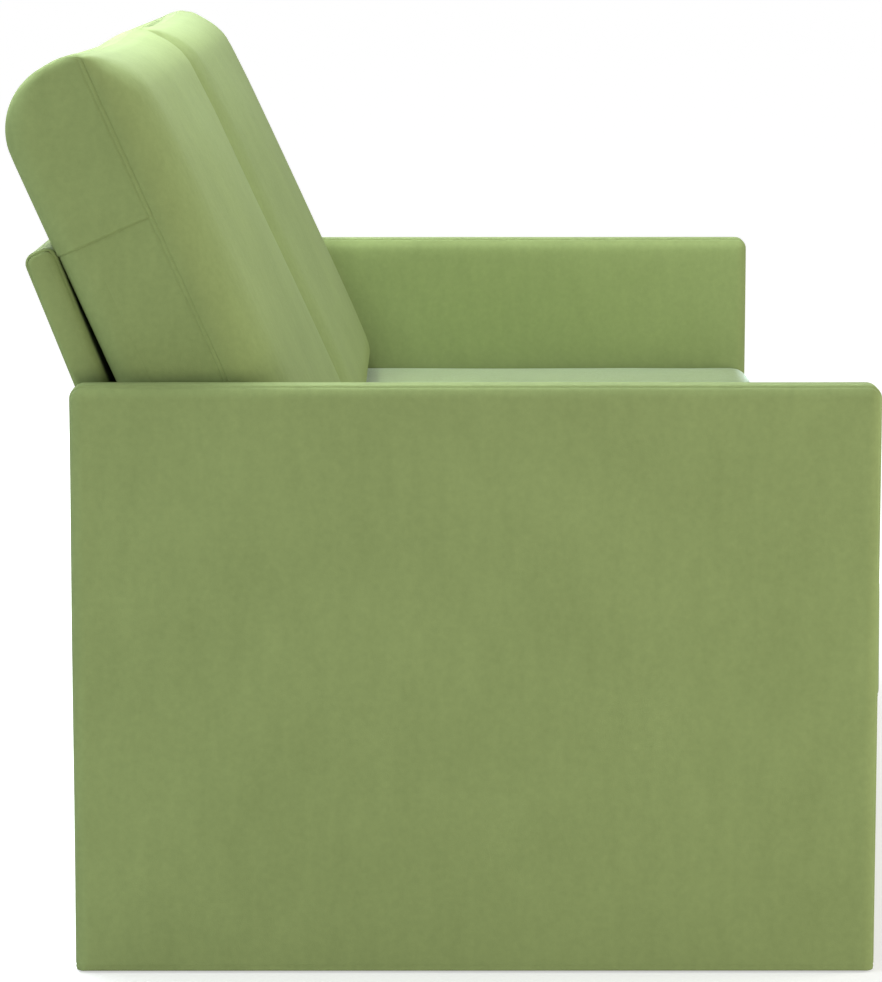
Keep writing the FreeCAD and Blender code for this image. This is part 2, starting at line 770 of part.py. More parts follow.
def seat_block(inset):
    """Seat cushion drawn in by inset on every side."""
    foot = deck_top + FIT + inset
    top = SEAT_HEIGHT - inset
    edge_top = top - SEAT_CROWN
    low_radius = SEAT_BOTTOM_RADIUS - inset
    top_radius = SEAT_TOP_RADIUS - inset
    rear = panel_front(deck_top) - SEAT_REAR_GAP - inset
    front = SEAT_FRONT_SWELL - SEAT_FRONT_PROUD + inset
    left, right = cushion_sides(inset)
    levels = []
    for angle in SEAT_FOOT_ANGLES:
        a = math.radians(angle)
        levels.append((foot + low_radius * (1 - math.cos(a)), low_radius * (1 - math.sin(a))))
    for angle in SEAT_TOP_ANGLES:
        a = math.radians(angle)
        levels.append((edge_top - top_radius * (1 - math.cos(a)), top_radius * (1 - math.sin(a))))
    for share, reach in SEAT_CROWN_STEPS:
        levels.append((edge_top + share * SEAT_CROWN, reach - inset))
    outlines = []
    for z, set_in in levels:
        sides = (left + set_in, right - set_in)
        outlines.append(outline(z, sides, front + set_in, rear - set_in, SEAT_PLAN_RADIUS, SEAT_PLAN_RADIUS,
                                SEAT_FRONT_SWELL, SEAT_DRAW))
    return loft(outlines)


def back_profile(inset):
    """Side view of a back cushion drawn in by inset: its levels, and functions for its front and rear."""
    foot = SEAT_HEIGHT + FIT + inset
    top = OVERALL_HEIGHT - inset
    rear_top = BACK_REAR_TOP_RADIUS - inset
    front_top = BACK_FRONT_TOP_RADIUS - inset
    front_foot = BACK_FRONT_FOOT_RADIUS - inset
    rear_foot = BACK_REAR_FOOT_RADIUS - inset

    def rear_line(z):
        return cushion_rear(z) - inset / math.cos(lean)

    def front_line(z):
        return cushion_front(z) + inset / math.cos(front_lean)

    def rear_arc(z, middle, radius):
        """Y at height z of an arc about the height middle that touches the rear line."""
        centre = rear_line(middle) - radius / math.cos(lean)
        return centre + math.sqrt(max(radius**2 - (z - middle) ** 2, 0))

    def front_arc(z, middle, radius):
        centre = front_line(middle) + radius / math.cos(front_lean)
        return centre - math.sqrt(max(radius**2 - (z - middle) ** 2, 0))

    def rear(z):
        if z > top - rear_top * (1 + math.sin(lean)):
            return rear_arc(z, top - rear_top, rear_top)
        if z < foot + rear_foot * (1 - math.sin(lean)):
            return rear_arc(z, foot + rear_foot, rear_foot)
        return rear_line(z)

    def front(z):
        if z > top - front_top * (1 - math.sin(front_lean)):
            return front_arc(z, top - front_top, front_top)
        if z < foot + front_foot * (1 + math.sin(front_lean)):
            return front_arc(z, foot + front_foot, front_foot)
        return front_line(z)

    low = [foot + front_foot * (1 - math.cos(math.radians(a))) for a in BACK_FOOT_ANGLES]
    middle_low = foot + front_foot * (1 + math.sin(front_lean))
    middle_high = top - rear_top * (1 + math.sin(lean))
    middle = [middle_low + share * (middle_high - middle_low) for share in BACK_MIDDLE_SHARES]
    high = [top - rear_top * (1 - math.cos(math.radians(a))) for a in BACK_TOP_ANGLES]
    return low + middle + high, front, rear


def round_drop(radius, rise):
    """How far a rounded edge has turned in where it has risen by rise."""
    return radius - math.sqrt(max(radius**2 - rise**2, 0))


def back_block(inset):
    """Back cushion drawn in by inset on every side."""
    levels, front, rear = back_profile(inset)
    side_radius = BACK_SIDE_RADIUS - inset
    foot_radius = BACK_REAR_FOOT_RADIUS - inset
    left, right = cushion_sides(inset)
    outlines = []
    for z in levels:
        above = max(z - (levels[-1] - side_radius), 0)
        below = max(levels[0] + foot_radius - z, 0)
        set_in = round_drop(side_radius, above) + round_drop(foot_radius, below)
        sides = (left + set_in, right - set_in)
        outlines.append(outline(z, sides, front(z), rear(z), BACK_FRONT_SIDE_RADIUS - inset, side_radius,
                                BACK_CROWN, BACK_DRAW))
    return loft(outlines)


def cushion_cover(block):
    return block(0).cut(block(COVER))


def seat_zip_band(extra):
    """Level band round the rear of a right-hand seat cushion."""
    left, right = cushion_sides(-COVER)
    middle = deck_top + FIT + SEAT_ZIP_HEIGHT
    half = ZIP_WIDTH / 2 + extra
    rear = panel_front(deck_top)
    return box(left, right, rear - SEAT_ZIP_REACH - extra, rear + extra, middle - half, middle + half)


def back_zip_band(extra):
    """Leaning band round the lower part of a right-hand back cushion, up to its cross seams."""
    left, right = cushion_sides(-COVER)
    near = -ZIP_FROM_REAR - ZIP_WIDTH / 2 - extra
    far = -ZIP_FROM_REAR + ZIP_WIDTH / 2 + extra
    return leaned(box(left, right, near, far, -arm_top, ZIP_ABOVE_ARM + extra))


def zipped_cover(block, band):
    return cushion_cover(block).cut(band(FIT))


def zip_strip(block, band):
    return cushion_cover(block).common(band(0))


def filling(block):
    return block(COVER + FIT)


# All pieces by name


def sided_pieces():
    """Right-hand pieces that have a left-hand twin."""
    return {
        "arm_{}_front_post": arm_front_post(),
        "arm_{}_rear_post": arm_rear_post(),
        "arm_{}_top_rail": arm_top_rail(),
        "arm_{}_bolt_rail": arm_bolt_rail(),
        "arm_{}_bottom_rail": arm_bottom_rail(),
        "arm_{}_inner_board": arm_inner_board(),
        "arm_{}_outer_board": arm_outer_board(),
        "arm_{}_padding": arm_padding(),
        "arm_{}_cover": arm_cover(),
        "arm_{}_glides": arm_glides(),
        "seat_cushion_{}_cover": zipped_cover(seat_block, seat_zip_band),
        "seat_cushion_{}_zip": zip_strip(seat_block, seat_zip_band),
        "seat_cushion_{}_filling": filling(seat_block),
        "back_cushion_{}_cover": zipped_cover(back_block, back_zip_band),
        "back_cushion_{}_zip": zip_strip(back_block, back_zip_band),
        "back_cushion_{}_filling": filling(back_block),
    }


def shared_pieces():
    return {
        "base_front_rail": base_front_rail(),
        "base_rear_rail": base_rear_rail(),
        "base_side_rails": both_sides(base_side_rail()),
        "base_middle_rail": base_middle_rail(),
        "base_spring_rail": base_spring_rail(),
        "base_corner_blocks": base_corner_blocks(),
        "base_middle_foot": base_middle_foot(),
        "seat_springs": seat_springs(),
        "spring_clips": spring_clips(),
        "deck_cloth": deck_cloth(),
        "front_border_padding": front_border_padding(),
        "front_border_cover": front_border_cover(),
        "rear_border_cover": rear_border_cover(),
        "dust_cover": dust_cover(),
        "back_top_rail": back_top_rail(),
        "back_bottom_rail": back_bottom_rail(),
        "back_end_stiles": both_sides(back_end_stile()),
        "back_middle_stile": back_middle_stile(),
        "back_front_board": back_front_board(),
        "back_rear_board": back_rear_board(),
        "back_padding": back_padding(),
        "back_cover": back_cover(),
        "back_catch_plates": both_sides(catch_plate()),
        "back_tongue_plates": both_sides(tongue_plate()),
        "back_plate_screws": back_plate_screws(),
        "arm_bolts": at_bolts(arm_bolt),
        "arm_bolt_washers": at_bolts(bolt_washer),
        "arm_insert_nuts": at_bolts(insert_nut),
    }


def main():
    os.makedirs("parts", exist_ok=True)
    pieces = shared_pieces()
    for name, shape in sided_pieces().items():
        pieces[name.format("right")] = shape
        pieces[name.format("left")] = mirrored(shape)
    foremost = pieces["seat_cushion_right_cover"].optimalBoundingBox(False, False).YMin
    rearmost = pieces["back_cushion_right_cover"].optimalBoundingBox(False, False).YMax
    to_middle = V(0, -(foremost + rearmost) / 2, 0)
    for name, shape in pieces.items():
        placed = shape.translated(to_middle)
        placed.exportStep(os.path.join("parts", name + ".step"))
        print(name, len(placed.Solids), "solids, valid", placed.isValid(), "volume", round(placed.Volume))
    print(len(pieces), "pieces, front at", round(foremost, 3), "rear at", round(rearmost, 3))


main()
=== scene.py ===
# %% [markdown]
# # A three-seater sofa in olive velour
#
# Two slab arms stand on the floor and carry a sprung base and a thin raked back panel. Two loose seat
# cushions lie on the base, and two loose back cushions lean on the panel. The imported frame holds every
# size and place, so the lesson loads it first, keeps its box, and then sews a cover round each padded
# part.

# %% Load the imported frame
import json
import math
import bmesh
import bpy
import numpy as np
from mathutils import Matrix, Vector
from mathutils.bvhtree import BVHTree
from mathutils.kdtree import KDTree


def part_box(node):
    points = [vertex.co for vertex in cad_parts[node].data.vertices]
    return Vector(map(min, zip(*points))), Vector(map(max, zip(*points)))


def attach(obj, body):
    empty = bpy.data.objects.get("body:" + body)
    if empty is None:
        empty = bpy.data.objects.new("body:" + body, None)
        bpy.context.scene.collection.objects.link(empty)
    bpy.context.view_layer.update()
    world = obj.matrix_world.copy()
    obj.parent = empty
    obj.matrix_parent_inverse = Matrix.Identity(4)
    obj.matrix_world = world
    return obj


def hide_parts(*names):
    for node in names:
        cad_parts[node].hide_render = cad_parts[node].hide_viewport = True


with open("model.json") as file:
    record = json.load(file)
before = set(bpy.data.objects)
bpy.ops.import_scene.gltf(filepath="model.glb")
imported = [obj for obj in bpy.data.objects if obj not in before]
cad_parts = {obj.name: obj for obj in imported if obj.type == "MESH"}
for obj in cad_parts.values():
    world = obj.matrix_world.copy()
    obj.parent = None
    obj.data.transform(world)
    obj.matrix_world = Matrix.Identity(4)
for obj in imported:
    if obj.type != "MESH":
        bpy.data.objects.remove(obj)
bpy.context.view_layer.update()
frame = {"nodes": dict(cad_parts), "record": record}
MM = 0.001
SIDES = ("left", "right")

# %% [markdown]
# ## Camera
#
# The photograph looks along the sofa from its left end, from a little above the arms and through a long
# lens, so that the near arm hides most of the seat. A real photographer would shift the lens to keep
# upright lines upright. A plain tilted camera is used here instead.

# %% Camera
CAMERA_PLACE = Vector((-5.268, 0.0107, 1.1343))
LOOK_DOWN = 0.14206
LOOK_ASIDE = 0.00126
FOCAL_LENGTH = 150.2
SENSOR_WIDTH = 36

lens = bpy.data.cameras.new("camera")
lens.lens = FOCAL_LENGTH
lens.sensor_width = SENSOR_WIDTH
camera = bpy.data.objects.new("camera", lens)
camera.location = CAMERA_PLACE
level = math.cos(LOOK_DOWN)
sight = Vector((level * math.cos(LOOK_ASIDE), -level * math.sin(LOOK_ASIDE), -math.sin(LOOK_DOWN)))
camera.rotation_euler = sight.to_track_quat("-Z", "Y").to_euler()
bpy.context.scene.collection.objects.link(camera)
bpy.context.scene.camera = camera
print("camera looks along", [round(v, 3) for v in sight])

# %% [markdown]
# ## Writing shader maths in Python
#
# A finish is a small graph of nodes. Wiring it by hand is slow to read, so one class wraps a socket:
# plus, minus and times on it add Math nodes, mix blends two colours, and node adds any other node from
# its type, settings and socket values.

# %% A socket that does arithmetic
class Wire:
    """A socket of a node tree; arithmetic on it adds Math nodes."""

    def __init__(self, tree, socket=None):
        self.tree = tree
        self.socket = socket

    def node(self, kind, settings, sockets, output=0):
        made = self.tree.nodes.new("ShaderNode" + kind)
        for name, value in settings.items():
            setattr(made, name, value)
        for name, value in sockets.items():
            if isinstance(value, Wire):
                self.tree.links.new(value.socket, made.inputs[name])
            else:
                made.inputs[name].default_value = value
        return Wire(self.tree, made.outputs[output] if made.outputs else None)

    def math(self, operation, first, second):
        return self.node("Math", {"operation": operation}, {0: first, 1: second})

    def __add__(self, other):
        return self.math("ADD", self, other)

    def __radd__(self, other):
        return self.math("ADD", other, self)

    def __sub__(self, other):
        return self.math("SUBTRACT", self, other)

    def __rsub__(self, other):
        return self.math("SUBTRACT", other, self)

    def __mul__(self, other):
        return self.math("MULTIPLY", self, other)

    def __rmul__(self, other):
        return self.math("MULTIPLY", other, self)

    def mix(self, first, second):
        """A colour between two, by this value."""
        sockets = {"Factor": self, 6: first, 7: second}
        return self.node("Mix", {"data_type": "RGBA"}, sockets, 2)


print("sockets can be added, subtracted, multiplied and mixed")

# %% [markdown]
# ## Room
#
# The photograph is a cut-out on white. The world could be lit that brightly, but then every colour would
# wash out. So it is white only where the camera, a reflection or a clear surface looks, and much dimmer
# as a light.

# %% World
WHITE = (1, 1, 1, 1)
ROOM_LIGHT = 0.25

bpy.context.scene.view_settings.view_transform = "Standard"
world = bpy.data.worlds.new("studio")
world.use_nodes = True
world.node_tree.nodes.clear()
room = Wire(world.node_tree)


def seen(kit):
    """One where the camera, a reflection or a clear surface looks, zero for light that falls on things."""
    path = kit.node("LightPath", {}, {}, "Is Camera Ray")
    links = path.socket.node.outputs
    shown = path + Wire(kit.tree, links["Is Glossy Ray"]) + Wire(kit.tree, links["Is Transmission Ray"])
    return kit.node("Clamp", {}, {"Value": shown})


strength = seen(room) * (1 - ROOM_LIGHT) + ROOM_LIGHT
backdrop = room.node("Background", {}, {"Color": WHITE, "Strength": strength})
room.node("OutputWorld", {}, {"Surface": backdrop})
bpy.context.scene.world = world
print("room light", ROOM_LIGHT)

# %% [markdown]
# ## Floor
#
# The floor is one plain pale plane that runs to the horizon. It takes the sofa's soft shadow like any
# matt paint, and glows a little for the camera, more so far away, until it meets the white of the world
# without a line.

# %% Floor
FLOOR_SIZE = 200.0
FLOOR_COLOUR = (0.55, 0.55, 0.55, 1)
FLOOR_SPECKLE = (0.57, 0.57, 0.57, 1)
SPECKLE_SCALE = 6.0
FLOOR_GLOW = 0.86
NEAR_GLOW = 0.42
GLOW_REACH = 5.0


def new_finish(name):
    finish = bpy.data.materials.new(name)
    finish.use_nodes = True
    finish.node_tree.nodes.clear()
    return finish, Wire(finish.node_tree)


floor_paint, kit = new_finish("floor_paint")
grain = kit.node("TexNoise", {}, {"Scale": SPECKLE_SCALE, "Detail": 2.0})
matt = kit.node("BsdfDiffuse", {}, {"Color": grain.mix(FLOOR_COLOUR, FLOOR_SPECKLE)})
place = kit.node("TexCoord", {}, {}, "Object")
away = kit.node("VectorMath", {"operation": "LENGTH"}, {0: place}, "Value")
faint = kit.node("Clamp", {}, {"Value": away * (1 / GLOW_REACH)})
lift = seen(kit) * (faint * (FLOOR_GLOW - NEAR_GLOW) + NEAR_GLOW)
glow = kit.node("Emission", {}, {"Color": WHITE, "Strength": lift})
kit.node("OutputMaterial", {}, {"Surface": kit.node("AddShader", {}, {0: matt, 1: glow})})

half = FLOOR_SIZE / 2
floor_corners = [(-half, -half, 0), (half, -half, 0), (half, half, 0), (-half, half, 0)]
floor_mesh = bpy.data.meshes.new("floor")
floor_mesh.from_pydata(floor_corners, [], [(0, 1, 2, 3)])
floor_mesh.materials.append(floor_paint)
floor = bpy.data.objects.new("floor", floor_mesh)
bpy.context.scene.collection.objects.link(floor)
print("floor", FLOOR_SIZE, "m wide")

# %% [markdown]
# ## Lamps
#
# Six large soft lamps stand round the sofa at a plain level, so that a colour renders about as it is
# written. Cool ones overhead, above the crest, beyond the far arm and behind bring out the pale sheen on
# crests and seat. Two warm ones, in front and beside the camera, light the faces that the photograph
# shows.

# %% Lamps
COOL = (0.90, 0.98, 1.0)
WARM = (1.0, 0.96, 0.86)


def soft_lamp(name, place, aim, size, power, colour):
    lamp = bpy.data.lights.new(name, "AREA")
    lamp.shape = "RECTANGLE"
    lamp.size, lamp.size_y = size
    lamp.energy = power
    lamp.color = colour
    holder = bpy.data.objects.new(name, lamp)
    holder.location = place
    holder.rotation_euler = (Vector(aim) - Vector(place)).to_track_quat("-Z", "Y").to_euler()
    bpy.context.scene.collection.objects.link(holder)


soft_lamp("ceiling_lamp", (0.2, 0.6, 3.6), (0, 0, 0.4), (4.0, 2.0), 54, COOL)
soft_lamp("crest_lamp", (0.0, 0.8, 2.2), (0.0, 0.35, 0.75), (1.8, 0.5), 50, COOL)
soft_lamp("far_lamp", (3.6, 1.3, 1.9), (0.2, 0.2, 0.7), (1.6, 1.2), 110, COOL)
soft_lamp("rim_lamp", (-2.2, 3.0, 2.0), (0, 0.2, 0.8), (2.0, 2.0), 58, COOL)
soft_lamp("front_lamp", (-0.3, -4.0, 2.0), (0, 0, 0.6), (2.4, 2.0), 100, WARM)
soft_lamp("camera_lamp", (-3.4, -1.5, 0.25), (-0.99, 0, 0.25), (1.6, 1.0), 58, WARM)
print(len(bpy.data.lights), "soft lamps")

# %% [markdown]
# ## Velour
#
# The whole sofa wears one olive velour. Its pile is short and dense: seen square on it is a deep olive,
# and seen at a shallow angle the fibre tips catch the light as a pale mint sheen. A Principled shader
# with a sheen layer does this in any light. Noise at four sizes gives the cloudy nap, the brushed
# streaks, the crushed spots and the pile itself. On the seat, where people sit, the nap is rubbed up, so
# there the sheen is stronger.

# %% Velour
OLIVE = (0.256, 0.320, 0.126, 1)
OLIVE_SHADE = (0.196, 0.248, 0.094, 1)
FIBRE_TIPS = (0.84, 1.0, 0.97, 1)
NAP_CONTRAST = 2.4
PILE_DEPTH = 0.4 * MM


def noise(kit, scale, detail, stretch=(1, 1, 1)):
    place = kit.node("TexCoord", {}, {}, "Object")
    pulled = kit.node("VectorMath", {"operation": "MULTIPLY"}, {0: place, 1: stretch})
    return kit.node("TexNoise", {}, {"Vector": pulled, "Scale": scale, "Detail": detail})


def surface(kit, colour, roughness, height, depth, strength, more={}):
    """Ends a finish: a Principled shader whose Normal takes the bump."""
    bump = kit.node("Bump", {}, {"Height": height, "Distance": depth, "Strength": strength})
    sockets = {"Normal": bump, "Base Color": colour, "Roughness": roughness} | more
    kit.node("OutputMaterial", {}, {"Surface": kit.node("BsdfPrincipled", {}, sockets)})


def make_velour(name, sheen, softness):
    finish, kit = new_finish(name)
    clouds = noise(kit, 7.0, 3.0)
    brushed = noise(kit, 60.0, 2.0, (1, 1, 0.25))
    crushed = noise(kit, 150.0, 4.0)
    pile = noise(kit, 900.0, 3.0)
    nap = clouds * 0.3 + brushed * 0.2 + crushed * 0.3 + pile * 0.2
    nap = nap * NAP_CONTRAST + (1 - NAP_CONTRAST) / 2
    colour = nap.mix(OLIVE_SHADE, OLIVE)
    tips = {
        "Sheen Weight": sheen,
        "Sheen Roughness": softness,
        "Sheen Tint": FIBRE_TIPS,
        "Specular IOR Level": 0.15,
    }
    surface(kit, colour, 0.8 + pile * 0.15, pile + brushed * 0.6, PILE_DEPTH, 0.5, tips)
    return finish


velour = make_velour("olive_velour", 0.015, 0.3)
raised_nap = make_velour("olive_velour_raised_nap", 0.9, 0.24)
print("finishes", velour.name, "and", raised_nap.name)

# %% [markdown]
# ## Finishes of the frame
#
# The frame inside stays as CAD made it and only needs its materials: planed pine, pressed hardboard,
# foam, zinc-plated steel, moulded plastic, woven zip tape and a thin black lining cloth. Each is a noise
# or a weave at the real grain's size, which tints the colour and raises the surface a little.

# %% Timber, board and foam
def make_pine():
    finish, kit = new_finish("planed_pine")
    rings = noise(kit, 14.0, 4.0, (0.4, 5, 5))
    grain = noise(kit, 90.0, 3.0, (0.15, 4, 4))
    colour = (rings * 0.7 + grain * 0.3).mix((0.50, 0.31, 0.14, 1), (0.74, 0.54, 0.31, 1))
    surface(kit, colour, 0.5 + grain * 0.25, grain, 0.4 * MM, 0.6)
    return finish


def make_hardboard():
    finish, kit = new_finish("pressed_hardboard")
    fibres = noise(kit, 220.0, 4.0)
    colour = fibres.mix((0.16, 0.085, 0.04, 1), (0.29, 0.17, 0.09, 1))
    surface(kit, colour, 0.55 + fibres * 0.25, fibres, 0.2 * MM, 0.6)
    return finish


def make_foam():
    finish, kit = new_finish("cut_foam")
    place = kit.node("TexCoord", {}, {}, "Object")
    cells = kit.node("TexVoronoi", {}, {"Vector": place, "Scale": 700.0})
    colour = cells.mix((0.80, 0.74, 0.52, 1), (0.62, 0.55, 0.34, 1))
    surface(kit, colour, 0.85 + cells * 0.1, 1 - cells, 0.5 * MM, 0.6)
    return finish


finishes = {"velour": velour, "pine": make_pine(), "hardboard": make_hardboard(), "foam": make_foam()}
print(len(finishes), "finishes")

# %% Steel and plastic
def make_zinc():
    finish, kit = new_finish("zinc_steel")
    scratches = noise(kit, 120.0, 3.0, (1, 0.2, 1))
    colour = scratches.mix((0.58, 0.59, 0.60, 1), (0.72, 0.73, 0.74, 1))
    surface(kit, colour, 0.28 + scratches * 0.2, scratches, 0.05 * MM, 0.4, {"Metallic": 1.0})
    return finish


def make_plastic():
    finish, kit = new_finish("moulded_plastic")
    texture = noise(kit, 500.0, 2.0)
    colour = texture.mix((0.012, 0.012, 0.013, 1), (0.022, 0.022, 0.024, 1))
    surface(kit, colour, 0.4 + texture * 0.2, texture, 0.1 * MM, 0.5)
    return finish


finishes |= {"zinc_steel": make_zinc(), "glide_plastic": make_plastic()}
print(len(finishes), "finishes")

# %% Woven cloths
def weave(kit, pitch):
    """Over and under of a plain weave, from two crossed waves."""
    place = kit.node("TexCoord", {}, {}, "Object")
    turns = {"bands_direction": "X"}, {"bands_direction": "Y"}
    waves = [kit.node("TexWave", turn, {"Vector": place, "Scale": 1 / (pitch * math.pi)}) for turn in turns]
    return waves[0] * waves[1]


def make_lining():
    finish, kit = new_finish("black_lining")
    threads = weave(kit, 1.6 * MM)
    fuzz = noise(kit, 400.0, 2.0)
    colour = (threads * 0.6 + fuzz * 0.4).mix((0.010, 0.010, 0.011, 1), (0.030, 0.030, 0.032, 1))
    surface(kit, colour, 0.8 + fuzz * 0.15, threads, 0.3 * MM, 0.6)
    return finish


def make_zip_tape():
    finish, kit = new_finish("zip_tape")
    threads = weave(kit, 1.0 * MM)
    colour = threads.mix((0.10, 0.125, 0.05, 1), (0.17, 0.21, 0.085, 1))
    surface(kit, colour, 0.7 + threads * 0.2, threads, 0.2 * MM, 0.6)
    return finish


finishes |= {"lining_cloth": make_lining(), "zip_tape": make_zip_tape()}
print(len(finishes), "finishes")

# %% Dress the CAD nodes
for row in frame["record"]["subparts"]:
    node = frame["nodes"][row["node"]]
    node.data.materials.clear()
    node.data.materials.append(finishes[row["material_slot"]])
print(len(finishes), "finishes on", len(frame["nodes"]), "CAD nodes")

# %% [markdown]
# ## A block with a sewn cover
#
# Arms, seat cushions, back panel and border are all the same thing: a foam block in a cover of two panels
# and a rim strip, sewn along the block's edges. A cube with a bevel would have no control over the seams,
# so the skin is a grid with close lines near the edges. Corners and edges are then rounded by a formula
# that keeps the grid's order, and the seam stays on a grid line near each rounded edge, where a sewer
# puts it.

# %% Grid of a block
EDGE_STEPS = np.array([0, 0.7, 1.5, 2.5, 4, 6, 9, 13, 18, 24, 32]) * MM
PITCH = 22 * MM
THIN_SHARE = 0.4


def ruler(length, steps, pitch=PITCH):
    """Grid lines along one side: close together at both ends, evenly spaced between."""
    middle = length - 2 * steps[-1]
    count = max(2, round(middle / pitch))
    return np.concatenate([steps, steps[-1] + middle * np.arange(1, count) / count, length - steps[::-1]])


def thickness_lines(thick, steps):
    """Grid lines across a block; a thin one has room for only some of the close steps."""
    return ruler(thick, steps[steps < thick * THIN_SHARE])


def grid_quads(number):
    """The quads of a grid of numbered points."""
    return np.stack([number[:-1, :-1], number[1:, :-1], number[1:, 1:], number[:-1, 1:]], -1)


def block_skin(lines):
    """Points and quads of a box's surface, with the given grid lines along its three sides."""
    counts = [len(line) for line in lines]
    skin = np.ones(counts, bool)
    skin[1:-1, 1:-1, 1:-1] = False
    number = np.cumsum(skin).reshape(counts) - 1
    points = np.stack(np.meshgrid(*lines, indexing="ij"), -1)[skin]
    quads = []
    for axis in range(3):
        for end in (0, -1):
            face = grid_quads(np.take(number, end, axis)).reshape(-1, 4)
            quads.append(face[:, ::-1] if (end == 0) != (axis == 1) else face)
    return points, np.concatenate(quads)


print(len(EDGE_STEPS), "close grid lines along each edge")

# %% Rounding and normals
TINY = 1e-9


def ease(first, second, radius):
    """Round the corner between two faces, given each point's distance from both."""
    u = np.clip(radius - first, 0, None)
    v = np.clip(radius - second, 0, None)
    reach = np.maximum(np.hypot(u, v), TINY)
    pull = np.where((u > 0) & (v > 0), np.maximum(u, v) / reach, 1)
    return first + u * (1 - pull), second + v * (1 - pull)


def outward(points, quads):
    """A unit normal at each point, out of the closed skin."""
    a, b, c, d = (points[quads[:, k]] for k in range(4))
    face = np.cross(c - a, d - b)
    turned = np.sign(np.sum((a + b + c + d) * face))
    total = np.zeros_like(points)
    for k in range(4):
        np.add.at(total, quads[:, k], face)
    return turned * total / np.maximum(np.linalg.norm(total, axis=1, keepdims=True), TINY * MM)


def round_outline(a, b, size, corner, ends):
    """Round the rim's outline. Returns the moved points, their depth inside it and the way further in."""
    wide, tall = size
    inward = np.stack([np.where(a < wide / 2, 1.0, -1.0), np.zeros_like(a)], 1)
    depth = np.minimum(a, wide - a)
    for end in ends:
        away = tall - b if end else b
        nearer = away < depth
        depth = np.where(nearer, away, depth)
        inward[nearer] = (0, -1 if end else 1)
    for end in ends:
        for side in (0, 1):
            f, g = ease(wide - a if side else a, tall - b if end else b, corner)
            zone = (f < corner) & (g < corner)
            spoke = np.stack([corner - f, corner - g], 1)
            reach = np.maximum(np.linalg.norm(spoke, axis=1), TINY)
            depth = np.where(zone, np.clip(corner - reach, 0, None), depth)
            signs = np.array([-1 if side else 1, -1 if end else 1])
            inward[zone] = (spoke / reach[:, None] * signs)[zone]
            a = np.where(zone, wide - f if side else f, a)
            b = np.where(zone, tall - g if end else g, b)
    return a, b, depth, inward


print("rounding ready")

# %% A sewn block
FAR_FROM_SEAM = 1.0


def sewn_block(size, corner, edge, hem=0.0, steps=EDGE_STEPS):
    """A padded block in its own axes: two panels at the ends of the third axis, with a rim round them.
    The rim's outline gets the corner radius, and panels turn into the rim by the edge radius. With a
    hem, the low end of the second axis is an open foot instead, turned under by that radius.
    Returns points, quads, and each point's distance from the seam: above 0 on a panel, below on the rim."""
    wide, tall, thick = size
    points, quads = block_skin([ruler(wide, steps), ruler(tall, steps), thickness_lines(thick, steps)])
    a, b, c = points.T.copy()
    under = b < TINY
    ends = (1,) if hem else (0, 1)
    a, b, depth, inward = round_outline(a, b, (wide, tall), corner, ends)
    from_seam = depth - np.minimum(c, thick - c)
    from_seam[under] = FAR_FROM_SEAM
    for side in (0, 1):
        moved, away = ease(depth, thick - c if side else c, edge[side])
        c = thick - away if side else away
        a = a + inward[:, 0] * (moved - depth)
        b = b + inward[:, 1] * (moved - depth)
    if hem:
        for side in (0, 1):
            b, away = ease(b, thick - c if side else c, hem)
            c = thick - away if side else away
            b, away = ease(b, wide - a if side else a, hem)
            a = wide - away if side else away
    return np.stack([a, b, c], 1), quads, from_seam


print("sewn blocks ready")

# %% [markdown]
# ## Seams
#
# Where two pieces of velour are sewn together the thread pulls them into a narrow groove, and the padding
# puffs up on both sides of it. The photograph shows this as a dark line with a bright one below it along
# the arm. Each point knows its distance from the seam, so the groove and the puff are one small formula,
# and a slow ripple keeps the cloth from looking machined.

# %% Seam relief and ripple
GROOVE_WIDTH = 1.5 * MM
PUFF_RISE = 5 * MM
PUFF_FADE = 15 * MM
RIPPLE_WAVES = [(1.0, 0.7, 0.4), (-0.5, 1.1, 0.8), (0.3, -0.6, 1.2), (1.3, 0.2, -0.9)]
RIPPLE_PHASE = 1.7


def ramp(value, reach):
    """From 0 at zero up to 1 at the given reach."""
    return np.clip(value / reach, 0, 1)


def bell(value, width):
    return np.exp(-((value / width) ** 2))


def seam_relief(distance, depth, puff):
    away = np.abs(distance)
    swell = puff * (1 - bell(away, PUFF_RISE)) * np.exp(-away / PUFF_FADE)
    return swell - depth * bell(away, GROOVE_WIDTH)


def ripple(points, wave):
    """A slow unevenness of about one unit, from a few crossed waves."""
    total = np.zeros(len(points))
    for turn, way in enumerate(RIPPLE_WAVES):
        total += np.sin((points @ np.array(way)) * 2 * math.pi / wave + RIPPLE_PHASE * turn)
    return total / len(RIPPLE_WAVES)


print("seam relief ready")

# %% Sew a piece
def sew_piece(name, points, faces, slot, body):
    """A mesh object from points and faces, smooth, finished and riding on its body."""
    mesh = bpy.data.meshes.new(name)
    mesh.from_pydata(points.tolist(), [], faces)
    turned = bmesh.new()
    turned.from_mesh(mesh)
    bmesh.ops.recalc_face_normals(turned, faces=turned.faces)
    turned.to_mesh(mesh)
    turned.free()
    mesh.polygons.foreach_set("use_smooth", [True] * len(mesh.polygons))
    mesh.materials.append(finishes[slot])
    piece = bpy.data.objects.new(name, mesh)
    bpy.context.scene.collection.objects.link(piece)
    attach(piece, body)
    print(name, len(mesh.polygons), "faces")
    return piece


# %% [markdown]
# ## Arms
#
# Each arm is a slab of board and thin padding in a tight cover that reaches the floor. The outer and
# inner panels are sewn to one strip that runs up the front, over the top and down the back, and the foot
# is a turned hem with a stitched line. The padding rolls over the board's edge, so the seam lies up on
# the rounding, the outer panel turns in below it, and the inner one, which people lean on, leans back
# more.

